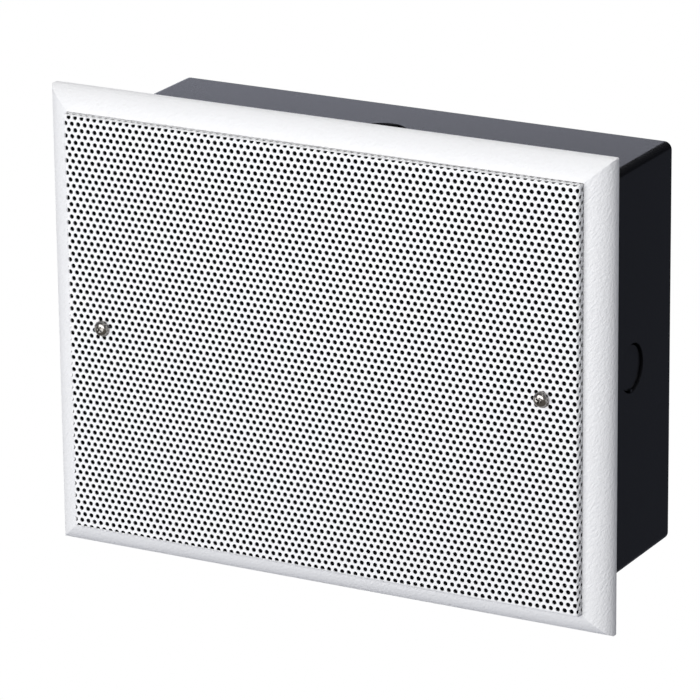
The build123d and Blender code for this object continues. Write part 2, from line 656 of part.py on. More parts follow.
with BuildPart() as spider:
    spider_in = FORMER_R + SOFT_GAP
    spider_out = BASKET_CAN_R + SPIDER_LAND + BASKET_SHEET
    spider_front = BASKET_STEP_Y - SPIDER_T
    wave_start = spider_in + SPIDER_LAND / 2
    wave_end = BASKET_CAN_R - SOFT_GAP
    wave_l = (wave_end - wave_start) / SPIDER_WAVES
    front_side = [(spider_in, spider_front), (wave_start, spider_front)]
    for i in range(SPIDER_WAVES):
        crest = SPIDER_WAVE_H if i % 2 else -SPIDER_WAVE_H
        front_side.append((wave_start + (i + 0.5) * wave_l, spider_front + crest))
    front_side += [(wave_end, spider_front), (spider_out, spider_front)]
    back_side = [(radius, y + SPIDER_T) for radius, y in reversed(front_side)]
    with BuildSketch(Plane.XY.offset(BOX_Z)) as corrugation:
        with BuildLine():
            Polyline(*front_side, *back_side, close=True)
        make_face()
    revolve(axis=DRIVER_AXIS)

spider.part.label = "spider"
export_step(spider.part, "parts/spider.step")

with BuildPart() as top_plate:
    with BuildSketch(Plane.XZ.offset(-BASKET_BASE_Y)) as plate_ring:
        with Locations((0, BOX_Z)):
            Circle(TOP_PLATE_R)
            Circle(GAP_R, mode=Mode.SUBTRACT)
    extrude(amount=-TOP_PLATE_T)

top_plate.part.label = "top_plate"
export_step(top_plate.part, "parts/top_plate.step")

with BuildPart() as magnet:
    with BuildSketch(Plane.XZ.offset(-TOP_PLATE_BACK)) as ferrite:
        with Locations((0, BOX_Z)):
            Circle(MAGNET_R)
            Circle(MAGNET_BORE_R, mode=Mode.SUBTRACT)
    extrude(amount=-MAGNET_T)
    circles = magnet.edges().filter_by(GeomType.CIRCLE)
    magnet_rims = circles.filter_by(lambda edge: edge.radius > MAGNET_BORE_R)
    chamfer(magnet_rims, MAGNET_CHAMFER)

magnet.part.label = "magnet"
export_step(magnet.part, "parts/magnet.step")

with BuildPart() as yoke:
    with BuildSketch(Plane.XZ.offset(-MAGNET_BACK)) as yoke_disc:
        with Locations((0, BOX_Z)):
            Circle(TOP_PLATE_R)
    extrude(amount=-YOKE_T)
    with BuildSketch(Plane.XZ.offset(-MAGNET_BACK)) as pole:
        with Locations((0, BOX_Z)):
            Circle(COIL_R - COIL_GAP)
    extrude(amount=MAGNET_BACK - BASKET_BASE_Y)
    with BuildSketch(Plane.XZ.offset(-BASKET_BASE_Y)) as vent:
        with Locations((0, BOX_Z)):
            Circle(VENT_R)
    extrude(amount=-(MAGNET_BACK + YOKE_T - BASKET_BASE_Y), mode=Mode.SUBTRACT)

yoke.part.label = "yoke"
export_step(yoke.part, "parts/yoke.step")

# Connections: tags on the driver, a two-pole block on the back wall and the wires between them
with BuildPart() as tag_strip:
    with BuildSketch(Plane.XZ.offset(-STEP_BACK)) as strip:
        with Locations((STRIP_X + STRIP_L / 2, BOX_Z)):
            Rectangle(STRIP_L, STRIP_W)
    extrude(amount=-STRIP_T)

tag_strip.part.label = "tag_strip"
export_step(tag_strip.part, "parts/tag_strip.step")

with BuildPart() as solder_tags:
    with BuildSketch(Plane.XZ.offset(-STRIP_BACK)) as tags:
        with Locations((TAG_X + TAG_L / 2, BOX_Z)):
            with GridLocations(0, POLE_PITCH, 1, 2):
                Rectangle(TAG_L, TAG_W)
        with Locations((TAG_END - TAG_EDGE, BOX_Z)):
            with GridLocations(0, POLE_PITCH, 1, 2):
                Circle(TAG_HOLE_R, mode=Mode.SUBTRACT)
    extrude(amount=-TAG_T)

solder_tags.part.label = "solder_tags"
export_step(solder_tags.part, "parts/solder_tags.step")

with BuildPart() as terminal_block:
    with BuildSketch(Plane.XZ.offset(-BLOCK_FRONT)) as block:
        with Locations((BLOCK_X, BOX_Z)):
            Rectangle(BLOCK_L, BLOCK_W)
    extrude(amount=-BLOCK_H)
    with BuildSketch(Plane.YZ.offset(BLOCK_X - BLOCK_L / 2)) as bores:
        with Locations((BORE_Y, BOX_Z)):
            with GridLocations(0, POLE_PITCH, 1, 2):
                Circle(BLOCK_BORE_R)
    extrude(amount=BLOCK_L, mode=Mode.SUBTRACT)
    with BuildSketch(Plane.XZ.offset(-BLOCK_FRONT)) as screw_wells:
        with Locations((BLOCK_X, BOX_Z)):
            with GridLocations(2 * CLAMP_SCREW_X, POLE_PITCH, 2, 2):
                Circle(CLAMP_SCREW_R + FASTENER_GAP)
    extrude(amount=-(BORE_Y - BLOCK_FRONT), mode=Mode.SUBTRACT)
    with BuildSketch(Plane.XZ.offset(-BLOCK_FRONT)) as fixing_hole:
        with Locations((BLOCK_X, BOX_Z)):
            Circle(BLOCK_SCREW_R + FASTENER_GAP / 2)
    extrude(amount=-BLOCK_H, mode=Mode.SUBTRACT)
    with BuildSketch(Plane.XZ.offset(-BLOCK_FRONT)) as head_well:
        with Locations((BLOCK_X, BOX_Z)):
            Circle(BLOCK_HEAD_R + FASTENER_GAP)
    extrude(amount=-(BLOCK_HEAD_SUNK + BLOCK_HEAD_H), mode=Mode.SUBTRACT)

terminal_block.part.label = "terminal_block"
export_step(terminal_block.part, "parts/terminal_block.step")

with BuildPart() as terminal_clamps:
    with BuildSketch(Plane.YZ.offset(BLOCK_X - BLOCK_L / 2 + CLAMP_INSET)) as clamp_rings:
        with Locations((BORE_Y, BOX_Z)):
            with GridLocations(0, POLE_PITCH, 1, 2):
                Circle(BLOCK_BORE_R - FIT_GAP)
                Circle(BLOCK_BORE_R - FIT_GAP - CLAMP_WALL, mode=Mode.SUBTRACT)
    extrude(amount=BLOCK_L - 2 * CLAMP_INSET)
    with BuildSketch(Plane.XZ.offset(-BLOCK_FRONT)) as clamp_holes:
        with Locations((BLOCK_X, BOX_Z)):
            with GridLocations(2 * CLAMP_SCREW_X, POLE_PITCH, 2, 2):
                Circle(CLAMP_SCREW_R + FASTENER_GAP / 2)
    extrude(amount=-(BORE_Y - BLOCK_FRONT), mode=Mode.SUBTRACT)

terminal_clamps.part.label = "terminal_clamps"
export_step(terminal_clamps.part, "parts/terminal_clamps.step")

with BuildPart() as clamp_screws:
    with BuildSketch(Plane.XZ.offset(-(BLOCK_FRONT + CLAMP_SCREW_SUNK))) as clamp_shanks:
        with Locations((BLOCK_X, BOX_Z)):
            with GridLocations(2 * CLAMP_SCREW_X, POLE_PITCH, 2, 2):
                Circle(CLAMP_SCREW_R)
    extrude(amount=-(BORE_Y - WIRE_R - FASTENER_GAP - BLOCK_FRONT - CLAMP_SCREW_SUNK))

clamp_screws.part.label = "clamp_screws"
export_step(clamp_screws.part, "parts/clamp_screws.step")

with BuildPart() as terminal_fixing_screw:
    with BuildSketch(Plane.XZ.offset(-(BLOCK_FRONT + BLOCK_HEAD_SUNK))) as fixing_head:
        with Locations((BLOCK_X, BOX_Z)):
            Circle(BLOCK_HEAD_R)
    extrude(amount=-BLOCK_HEAD_H)
    with BuildSketch(Plane.XZ.offset(-(BLOCK_FRONT + BLOCK_HEAD_SUNK))) as fixing_shank:
        with Locations((BLOCK_X, BOX_Z)):
            Circle(BLOCK_SCREW_R)
    extrude(amount=-(BLOCK_H + BOX_SHEET - BLOCK_HEAD_SUNK))

terminal_fixing_screw.part.label = "terminal_fixing_screw"
export_step(terminal_fixing_screw.part, "parts/terminal_fixing_screw.step")

with BuildPart() as hook_up_wires:
    for side in (-1, 1):
        wire_z = BOX_Z + side * POLE_PITCH / 2
        with BuildLine() as route:
            FilletPolyline(
                (WIRE_X, STRIP_BACK + TAG_T, wire_z),
                (WIRE_X, BORE_Y, wire_z),
                (BLOCK_X - CLAMP_SCREW_X + WIRE_END, BORE_Y, wire_z),
                radius=WIRE_BEND,
            )
        with BuildSketch(Plane.XZ.offset(-(STRIP_BACK + TAG_T))) as wire_end:
            with Locations((WIRE_X, wire_z)):
                Circle(WIRE_R)
        sweep(path=route.wires()[0])

hook_up_wires.part.label = "hook_up_wires"
export_step(hook_up_wires.part, "parts/hook_up_wires.step")

with BuildPart() as damping_pad:
    with BuildSketch(Plane.XZ.offset(-BACK_WALL)) as foam:
        with Locations(((PAD_LEFT + PAD_RIGHT) / 2, BOX_Z)):
            Rectangle(PAD_RIGHT - PAD_LEFT, BOX_H - 2 * (BOX_SHEET + PAD_MARGIN))
        with Locations((0, BOX_Z)):
            with GridLocations(FIXING_X, FIXING_Z, 2, 2):
                Circle(PAD_HOLE_R, mode=Mode.SUBTRACT)
    extrude(amount=PAD_T)

damping_pad.part.label = "damping_pad"
export_step(damping_pad.part, "parts/damping_pad.step")
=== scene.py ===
"""In-wall speaker: finer pieces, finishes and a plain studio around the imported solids.

Metres, in the frame of the solids: the origin is the bezel's centre on the wall's surface, the grille
faces -Y, the box reaches into the wall along +Y, and +Z is up.
"""

import logging
import math
from abc import ABC, abstractmethod
from collections.abc import Callable, Iterator, Sequence
from contextlib import contextmanager
from dataclasses import dataclass
from enum import Enum
from typing import Any, NamedTuple

import bmesh
import bpy
import numpy as np
from mathutils import Matrix, Vector

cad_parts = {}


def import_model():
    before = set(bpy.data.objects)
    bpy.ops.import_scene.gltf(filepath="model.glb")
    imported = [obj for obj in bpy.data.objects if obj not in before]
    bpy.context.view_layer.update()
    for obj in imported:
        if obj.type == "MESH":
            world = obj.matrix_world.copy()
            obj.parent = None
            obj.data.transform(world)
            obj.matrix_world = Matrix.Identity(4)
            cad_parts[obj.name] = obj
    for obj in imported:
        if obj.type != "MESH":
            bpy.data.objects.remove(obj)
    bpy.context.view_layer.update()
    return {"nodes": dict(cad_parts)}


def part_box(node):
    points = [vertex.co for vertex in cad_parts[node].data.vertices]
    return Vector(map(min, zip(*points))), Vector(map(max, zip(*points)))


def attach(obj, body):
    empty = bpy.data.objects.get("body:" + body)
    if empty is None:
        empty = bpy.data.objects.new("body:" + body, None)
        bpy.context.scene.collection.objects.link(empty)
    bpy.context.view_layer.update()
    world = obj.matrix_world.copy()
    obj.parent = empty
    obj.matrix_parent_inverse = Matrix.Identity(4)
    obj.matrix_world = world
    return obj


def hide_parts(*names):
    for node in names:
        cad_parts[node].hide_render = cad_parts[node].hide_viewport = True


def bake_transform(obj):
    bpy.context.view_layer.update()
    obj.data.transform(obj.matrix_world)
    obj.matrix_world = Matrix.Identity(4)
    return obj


LOG = logging.getLogger("in_wall_speaker")
MERGE_DISTANCE = 2e-6
CUT_TOLERANCE = 1e-7
RAMP_START = 0.3
RAMP_END = 0.7
PLAIN_DETAIL = 2.0
FINE_DETAIL = 3.0
CELL_SOFTNESS = 0.6
BAND_SCALE = math.pi / 10.0
FACING = 0.9
FACE_ROOM = Matrix.Rotation(math.pi / 2, 4, "X")
TRAY_BELOW = 0.0004
TRAY_ABOVE = 0.0002
TRAY_TRIM = 0.0006


class Body(Enum):
    """The bodies that pieces ride on."""

    FIXED = "body"
    MOVING = "cone_assembly"


class Pick(Enum):
    """What a selection in edit mode is made of."""

    POINTS = "VERT"
    EDGES = "EDGE"
    FACES = "FACE"


class Cut(Enum):
    """How one mesh acts on another."""

    REMOVE = "DIFFERENCE"
    JOIN = "UNION"
    KEEP_COMMON = "INTERSECT"


class Blend(Enum):
    """How two patterns are put together."""

    PRODUCT = "MULTIPLY"
    LARGER = "MAXIMUM"


class Axis(Enum):
    """The axis that a pattern is counted along."""

    X = "X"
    Y = "Y"
    Z = "Z"


class Side(Enum):
    """Left and right, seen from the room."""

    LEFT = -1
    RIGHT = 1

    def label(self, stem: str) -> str:
        """Returns the name of the piece on this side."""
        return f"{stem}_{self.name.lower()}"


class Ring(NamedTuple):
    """One loop of a wall that is drawn loop by loop along Y."""

    half_w: float
    half_h: float
    y: float
    mid_z: float = 0.0
    mid_x: float = 0.0


class Extent(NamedTuple):
    """The lowest and the highest corner of a piece."""

    low: Vector
    high: Vector

    @property
    def middle(self) -> Vector:
        """Returns the point halfway between the corners."""
        return (self.low + self.high) / 2

    @property
    def half(self) -> Vector:
        """Returns the half sizes."""
        return (self.high - self.low) / 2

    @classmethod
    def of(cls, node: str) -> "Extent":
        """Returns the extent of a solid."""
        return cls(*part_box(node))


class Workbench:
    """One mesh object and the moves that shape it, as made by hand in edit mode."""

    def __init__(self, piece: bpy.types.Object) -> None:
        """Takes the object that is worked on."""
        self.piece = piece

    @classmethod
    def start(cls, name: str, add: Callable[..., Any], **sizes: Any) -> "Workbench":
        """Adds a primitive at the origin and names it.

        Args:
            name: Name of the new piece.
            add: The operator that adds the primitive.
            **sizes: Settings of that operator.

        Returns:
            A bench with the new piece on it.
        """
        bpy.ops.object.select_all(action="DESELECT")
        add(**sizes)
        piece = bpy.context.active_object
        piece.name = name
        piece.data.name = name
        return cls(piece)

    @classmethod
    def block(cls, name: str, middle: Vector, half: Sequence[float]) -> "Workbench":
        """Starts a piece with a block.

        Args:
            name: Name of the piece.
            middle: The block's middle.
            half: Its half sizes.

        Returns:
            A bench with the block on it.
        """
        bench = cls.start(name, bpy.ops.mesh.primitive_cube_add, size=2.0)
        bench.place(Matrix.Translation(middle) @ Matrix.Diagonal((*half, 1.0)))
        return bench

    @classmethod
    def rod(cls, name: str, radius: float, length: float, sides: int, stand: Matrix) -> "Workbench":
        """Starts a piece with a round rod.

        Args:
            name: Name of the piece.
            radius: The rod's radius.
            length: Its length.
            sides: Points on its circle.
            stand: Takes the rod from the Z axis to its place.

        Returns:
            A bench with the rod on it.
        """
        add = bpy.ops.mesh.primitive_cylinder_add
        bench = cls.start(name, add, vertices=sides, radius=radius, depth=length)
        bench.place(stand)
        return bench

    @classmethod
    def circle(cls, name: str, ring: Ring, sides: int, filled: bool = False) -> "Workbench":
        """Starts a piece with one circle across Y.

        Args:
            name: Name of the piece.
            ring: The circle's size and place.
            sides: Points on the circle.
            filled: Closes the circle with a face.

        Returns:
            A bench with the circle on it.
        """
        fill = "NGON" if filled else "NOTHING"
        add = bpy.ops.mesh.primitive_circle_add
        bench = cls.start(name, add, vertices=sides, radius=1.0, fill_type=fill)
        size = Matrix.Diagonal((ring.half_w, 1.0, ring.half_h, 1.0))
        bench.place(Matrix.Translation((0.0, ring.y, ring.mid_z)) @ size @ FACE_ROOM)
        return bench

    def discard(self) -> None:
        """Deletes the piece."""
        bpy.data.objects.remove(self.piece, do_unlink=True)

    def activate(self) -> None:
        """Makes the piece the only selected and the active object."""
        bpy.ops.object.select_all(action="DESELECT")
        self.piece.select_set(True)
        bpy.context.view_layer.objects.active = self.piece

    @contextmanager
    def editing(self) -> Iterator[None]:
        """Keeps the piece in edit mode for the length of a with block."""
        self.activate()
        bpy.ops.object.mode_set(mode="EDIT")
        try:
            yield
        finally:
            bpy.ops.object.mode_set(mode="OBJECT")

    def select(self, kind: Pick, test: Callable[[Any], bool]) -> None:
        """Selects, in edit mode, the elements that pass a test.

        Args:
            kind: Points, edges or faces.
            test: Called with each element.
        """
        bpy.ops.mesh.select_all(action="DESELECT")
        bpy.ops.mesh.select_mode(type=kind.value)
        mesh = bmesh.from_edit_mesh(self.piece.data)
        elements = {Pick.POINTS: mesh.verts, Pick.EDGES: mesh.edges, Pick.FACES: mesh.faces}[kind]
        for element in elements:
            if test(element):
                element.select_set(True)
        mesh.select_flush_mode()
        bmesh.update_edit_mesh(self.piece.data)

    def select_open_edges(self) -> None:
        """Selects the edges that border only one face."""
        self.select(Pick.EDGES, lambda edge: edge.is_boundary)

    def place(self, matrix: Matrix) -> None:
        """Moves the mesh itself, so that the object stays at the origin."""
        self.piece.data.transform(matrix)
        self.piece.data.update()

    def draw_rings(self, rings: Sequence[Ring]) -> None:
        """Extrudes the selected loop, which is the first ring, through the others.

        Args:
            rings: The loops in order, the first one already drawn.
        """
        here = rings[0]
        for ring in rings[1:]:
            move = (ring.mid_x - here.mid_x, ring.y - here.y, ring.mid_z - here.mid_z)
            bpy.ops.mesh.extrude_edges_move(TRANSFORM_OT_translate={"value": move})
            bpy.ops.transform.resize(
                value=(ring.half_w / here.half_w, 1.0, ring.half_h / here.half_h),
                center_override=(ring.mid_x, ring.y, ring.mid_z),
            )
            here = ring

    def close_rings(self, rings: Sequence[Ring]) -> None:
        """Draws a wall through rings, joins its two ends and turns it outwards.

        Args:
            rings: The loops in order, the first one being all that is drawn.
        """
        with self.editing():
            bpy.ops.mesh.select_all(action="SELECT")
            self.draw_rings(rings)
            self.select_open_edges()
            bpy.ops.mesh.bridge_edge_loops()
        self.face_outwards()

    def bisect(self, point: Vector, normal: Vector, keep_behind: bool = False) -> None:
        """Cuts the whole mesh along a plane, in edit mode.

        Args:
            point: A point of the plane.
            normal: The plane's normal.
            keep_behind: Also removes what lies on the normal's side.
        """
        bpy.ops.mesh.select_all(action="SELECT")
        bpy.ops.mesh.bisect(
            plane_co=point, plane_no=normal, clear_outer=keep_behind, threshold=CUT_TOLERANCE
        )

    def face_outwards(self) -> None:
        """Merges doubles and turns all faces outwards."""
        with self.editing():
            bpy.ops.mesh.select_all(action="SELECT")
            bpy.ops.mesh.remove_doubles(threshold=MERGE_DISTANCE)
            bpy.ops.mesh.normals_make_consistent(inside=False)

    def apply(self, kind: str, **settings: Any) -> None:
        """Adds a modifier and applies it.

        Args:
            kind: The modifier's type.
            **settings: Its settings.
        """
        modifier = self.piece.modifiers.new(kind.title(), kind)
        for key, value in settings.items():
            setattr(modifier, key, value)
        self.activate()
        bpy.ops.object.modifier_apply(modifier=modifier.name)

    def carve(self, tool: "Workbench", how: Cut) -> None:
        """Applies a boolean with another bench's piece, which is used up.

        Args:
            tool: The bench that holds the cutting mesh.
            how: What the cutting mesh does.
        """
        self.apply("BOOLEAN", object=tool.piece, operation=how.value, solver="EXACT")
        tool.discard()

    def drill(self, spot: Sequence[float], radius: float, length: float, sides: int) -> None:
        """Drills a hole along Y.

        Args:
            spot: The middle of the drill.
            radius: The hole's radius.
            length: The drill's length.
            sides: Points on its circle.
        """
        stand = Matrix.Translation(spot) @ FACE_ROOM
        self.carve(Workbench.rod("drill", radius, length, sides, stand), Cut.REMOVE)

    def smooth(self, angle: float) -> None:
        """Shades edges smooth below an angle in degrees."""
        self.activate()
        bpy.ops.object.shade_smooth_by_angle(angle=math.radians(angle))

    def copy(self, name: str, matrix: Matrix) -> "Workbench":
        """Copies the piece with a mesh of its own.

        Args:
            name: Name of the copy.
            matrix: Where the copy's mesh goes.

        Returns:
            A bench with the copy on it.
        """
        piece = self.piece.copy()
        piece.data = self.piece.data.copy()
        piece.name = name
        piece.data.name = name
        bpy.context.collection.objects.link(piece)
        bench = Workbench(piece)
        bench.place(matrix)
        return bench

    def dress(self, finish: "Finish", slot: str, *nodes: str) -> bpy.types.Object:
        """Gives the piece its finish and hides the solids that it replaces.

        Args:
            finish: The finish of the whole piece.
            slot: Not used.
            *nodes: The nodes that the piece replaces.

        Returns:
            The piece.
        """
        self.piece.data.materials.clear()
        self.piece.data.materials.append(finish.material())
        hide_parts(*nodes)
        LOG.info("%s: %d faces", self.piece.name, len(self.piece.data.polygons))
        return self.piece


class NodeDesk:
    """Lays out the nodes of one material."""

    def __init__(self, name: str) -> None:
        """Starts a material with its shader and Object coordinates."""
        self.material = bpy.data.materials.new(name)
        self.material.use_nodes = True
        self.tree = self.material.node_tree
        self.shader = self.tree.nodes["Principled BSDF"]
        self.place = self.add("ShaderNodeTexCoord").outputs["Object"]
        self.normal: bpy.types.NodeSocket | None = None

    def add(self, kind: str, inputs: dict[str, Any] | None = None, **settings: Any) -> bpy.types.Node:
        """Adds a node.

        Args:
            kind: The node's type.
            inputs: Values or sockets for its inputs, by name.
            **settings: Properties of the node.

        Returns:
            The node.
        """
        node = self.tree.nodes.new(kind)
        for key, value in settings.items():
            setattr(node, key, value)
        for key, value in (inputs or {}).items():
            self.feed(node.inputs[key], value)
        return node

    def feed(self, target: bpy.types.NodeSocket, value: Any) -> None:
        """Links a socket to an input, or sets a plain value on it."""
        if isinstance(value, bpy.types.NodeSocket):
            self.tree.links.new(value, target)
        else:
            target.default_value = value

    def shade(self, **inputs: Any) -> None:
        """Sets inputs of the shader, named with underscores for blanks."""
        for key, value in inputs.items():
            self.feed(self.shader.inputs[key.replace("_", " ")], value)

    def stretch(self, x: float = 1.0, z: float = 1.0) -> bpy.types.NodeSocket:
        """Returns Object coordinates scaled along X and Z."""
        node = self.add("ShaderNodeMapping", {"Vector": self.place, "Scale": (x, 1.0, z)})
        return node.outputs["Vector"]

    def lean(self, angle: float, length: float) -> bpy.types.NodeSocket:
        """Returns Object coordinates in which patterns lie along a line tilted from +Z to +X.

        Args:
            angle: The tilt in degrees.
            length: How much longer than wide the patterns get.

        Returns:
            The coordinates.
        """
        inputs = {
            "Vector": self.place,
            "Rotation": (0.0, math.radians(angle), 0.0),
            "Scale": (1.0, 1.0, length),
        }
        return self.add("ShaderNodeMapping", inputs, vector_type="TEXTURE").outputs["Vector"]

    def noise(
        self, size: float, detail: float = PLAIN_DETAIL, place: Any = None
    ) -> bpy.types.NodeSocket:
        """Returns noise with lumps of about a size in metres."""
        inputs = {"Vector": place or self.place, "Scale": 1.0 / size, "Detail": detail}
        return self.add("ShaderNodeTexNoise", inputs).outputs[0]

    def cells(self, size: float) -> bpy.types.NodeSocket:
        """Returns the distance from the middle of soft cells of a size in metres."""
        inputs = {"Vector": self.place, "Scale": 1.0 / size, "Smoothness": CELL_SOFTNESS}
        return self.add("ShaderNodeTexVoronoi", inputs, feature="SMOOTH_F1").outputs["Distance"]

    def threads(self, size: float, along: Axis, waver: float = 0.4) -> bpy.types.NodeSocket:
        """Returns bands of a period in metres, counted along an axis."""
        inputs = {"Vector": self.place, "Scale": BAND_SCALE / size, "Distortion": waver, "Detail": 1.0}
        return self.add("ShaderNodeTexWave", inputs, bands_direction=along.value).outputs["Fac"]

    def combine(self, how: Blend, first: Any, second: Any) -> bpy.types.NodeSocket:
        """Returns two patterns put together."""
        node = self.add("ShaderNodeMath", operation=how.value)
        self.feed(node.inputs[0], first)
        self.feed(node.inputs[1], second)
        return node.outputs[0]

    def tint(self, factor: Any, color: Sequence[float], share: float) -> bpy.types.NodeSocket:
        """Returns a colour that a pattern darkens.

        Args:
            factor: The pattern.
            color: The colour where the pattern is high.
            share: What is left of the colour where the pattern is low.

        Returns:
            The colour.
        """
        node = self.add("ShaderNodeValToRGB", {"Fac": factor})
        dark, full = node.color_ramp.elements
        dark.position, full.position = RAMP_START, RAMP_END
        dark.color = (*(channel * share for channel in color), 1.0)
        full.color = (*color, 1.0)
        return node.outputs["Color"]

    def level(self, factor: Any, low: float, high: float) -> bpy.types.NodeSocket:
        """Returns a number that runs from low to high with a pattern."""
        inputs = {"Value": factor, "From Min": RAMP_START, "From Max": RAMP_END}
        inputs |= {"To Min": low, "To Max": high}
        return self.add("ShaderNodeMapRange", inputs).outputs["Result"]

    def uneven(self, factor: Any, middle: float, swing: float) -> bpy.types.NodeSocket:
        """Returns a number that a pattern swings about a middle value."""
        return self.level(factor, middle - swing, middle + swing)

    def relief(self, height: Any, depth: float) -> None:
        """Adds bumps of a depth in metres on top of those already there."""
        inputs = {"Height": height, "Distance": depth, "Strength": 1.0}
        if self.normal is not None:
            inputs["Normal"] = self.normal
        self.normal = self.add("ShaderNodeBump", inputs).outputs["Normal"]
        self.shade(Normal=self.normal)


@dataclass(frozen=True)
class Finish(ABC):
    """A finish that pieces share."""

    name: str
    color: tuple[float, float, float]

    def material(self) -> bpy.types.Material:
        """Returns the finish's material, made on first use."""
        return bpy.data.materials.get(self.name) or self.make()

    @abstractmethod
    def make(self) -> bpy.types.Material:
        """Lays out the material and returns it."""


@dataclass(frozen=True)
class PowderCoat(Finish):
    """Stoved coat on steel, from a smooth satin to a leather grain."""

    gloss: float = 0.4
    grain: float = 0.0015
    depth: float = 0.00006
    peel: float = 0.00002
    streak: float = 1.0
    grain_lean: float = 45.0
    peel_share: float = 0.6
    cloud: float = 0.03
    cloud_shade: float = 0.985
    gloss_swing: float = 0.05

    def make(self) -> bpy.types.Material:
        """Lays out grain, fine peel, faint clouds of colour and uneven gloss."""
        desk = NodeDesk(self.name)
        clouds = desk.noise(self.cloud, FINE_DETAIL)
        lumps = desk.noise(self.grain, FINE_DETAIL, desk.lean(self.grain_lean, self.streak))
        desk.relief(lumps, self.depth)
        desk.relief(desk.cells(self.grain * self.peel_share), self.peel)
        desk.shade(
            Base_Color=desk.tint(clouds, self.color, self.cloud_shade),
            Roughness=desk.uneven(lumps, self.gloss, self.gloss_swing),
        )
        return desk.material


@dataclass(frozen=True)
class PlatedSteel(Finish):
    """Bright zinc or tin plate with the marks of forming."""

    gloss: float = 0.25
    streak: float = 0.0006
    streak_stretch: float = 0.25
    streak_depth: float = 0.000008
    cloud: float = 0.004
    cloud_shade: float = 0.88
    gloss_swing: float = 0.07

    def make(self) -> bpy.types.Material:
        """Lays out fine streaks, passivation clouds and uneven gloss on metal."""
        desk = NodeDesk(self.name)
        streaks = desk.noise(self.streak, place=desk.stretch(x=self.streak_stretch))
        clouds = desk.noise(self.cloud)
        desk.relief(streaks, self.streak_depth)
        desk.shade(
            Base_Color=desk.tint(clouds, self.color, self.cloud_shade),
            Roughness=desk.uneven(streaks, self.gloss, self.gloss_swing),
            Metallic=1.0,
        )
        return desk.material


@dataclass(frozen=True)
class WovenCloth(Finish):
    """Cloth with threads that cross along X and Z."""

    thread: float = 0.0006
    depth: float = 0.0001
    sheen: float = 0.1
    gloss: float = 0.95
    shine: float = 0.1
    gap_shade: float = 0.6
    fluff: float = 0.0003
    fluff_share: float = 0.3

    def make(self) -> bpy.types.Material:
        """Lays out two sets of threads, their shade and some fluff."""
        desk = NodeDesk(self.name)
        weft, warp = desk.threads(self.thread, Axis.X), desk.threads(self.thread, Axis.Z)
        weave = desk.combine(Blend.PRODUCT, weft, warp)
        desk.relief(weave, self.depth)
        desk.relief(desk.noise(self.fluff), self.depth * self.fluff_share)
        desk.shade(
            Base_Color=desk.tint(weave, self.color, self.gap_shade),
            Roughness=self.gloss,
            Specular_IOR_Level=self.shine,
            Sheen_Weight=self.sheen,
        )
        return desk.material


@dataclass(frozen=True)
class PressedFibre(Finish):
    """Paper pulp or felt: short fibres lying in all directions."""

    fibre: float = 0.0008
    depth: float = 0.0001
    gloss: float = 0.9
    shine: float = 0.2
    fibre_stretch: float = 0.2
    gap_shade: float = 0.7

    def make(self) -> bpy.types.Material:
        """Lays out fibres in two directions and clouds of pulp."""
        desk = NodeDesk(self.name)
        across = desk.noise(self.fibre, FINE_DETAIL, desk.stretch(x=self.fibre_stretch))
        along = desk.noise(self.fibre, FINE_DETAIL, desk.stretch(z=self.fibre_stretch))
        desk.relief(across, self.depth)
        desk.relief(along, self.depth)
        pulp = desk.combine(Blend.PRODUCT, across, along)
        desk.shade(
            Base_Color=desk.tint(pulp, self.color, self.gap_shade),
            Roughness=self.gloss,
            Specular_IOR_Level=self.shine,
        )
        return desk.material


@dataclass(frozen=True)
class MouldedSurface(Finish):
    """Rubber, ceramic, ferrite or plastic as it leaves its mould."""

    gloss: float = 0.6
    pore: float = 0.001
    depth: float = 0.00003
    flow: float = 0.012
    flow_shade: float = 0.85
    gloss_swing: float = 0.06

    def make(self) -> bpy.types.Material:
        """Lays out pores, flow marks and uneven gloss."""
        desk = NodeDesk(self.name)
        flow = desk.noise(self.flow, FINE_DETAIL)
        desk.relief(desk.cells(self.pore), self.depth)
        desk.shade(
            Base_Color=desk.tint(flow, self.color, self.flow_shade),
            Roughness=desk.uneven(flow, self.gloss, self.gloss_swing),
        )
        return desk.material


@dataclass(frozen=True)
class WoundWire(Finish):
    """Enamelled wire, wound turn beside turn along Y."""

    turn: float = 0.0003
    depth: float = 0.00006
    gap_shade: float = 0.5
    gap_gloss: float = 0.45
    gloss: float = 0.25

    def make(self) -> bpy.types.Material:
        """Lays out the turns and the darker lines between them."""
        desk = NodeDesk(self.name)
        turns = desk.threads(self.turn, Axis.Y, 0.0)
        desk.relief(turns, self.depth)
        desk.shade(
            Base_Color=desk.tint(turns, self.color, self.gap_shade),
            Roughness=desk.level(turns, self.gap_gloss, self.gloss),
            Metallic=1.0,
        )
        return desk.material


FRAME_COAT = PowderCoat("white grained coat", (0.86, 0.86, 0.865), 0.5, 0.0009, 0.00029, 0.00004, 2.4)
GRILLE_COAT = PowderCoat("white satin coat", (0.89, 0.89, 0.892), 0.45, 0.0009, 0.00002, 0.00001)
BOX_COAT = PowderCoat("black satin coat", (0.011, 0.0115, 0.014), 0.22, 0.0007, 0.000006, 0.000003)
BASKET_COAT = PowderCoat("black matt coat", (0.03, 0.03, 0.032), 0.65, 0.001, 0.00003)
ZINC = PlatedSteel("bright zinc plate", (0.66, 0.66, 0.68), 0.24)
# The screw heads get a darker copy of the bright zinc plate than the washers: painted shade that dims
# the heads and what they reflect.
SHADED_HEAD_ZINC = PlatedSteel("zinc plate darkened for painted shade", (0.31, 0.297, 0.285), 0.13, 0.002)
TIN = PlatedSteel("tinned brass", (0.75, 0.72, 0.62), 0.35)
FOIL = PlatedSteel("aluminium foil", (0.82, 0.82, 0.83), 0.3)
COPPER = WoundWire("enamelled copper wire", (0.72, 0.35, 0.2))
FLEECE_CLOTH = WovenCloth("black acoustic cloth", (0.006, 0.006, 0.007), 0.0007, 0.00012, 0.0)
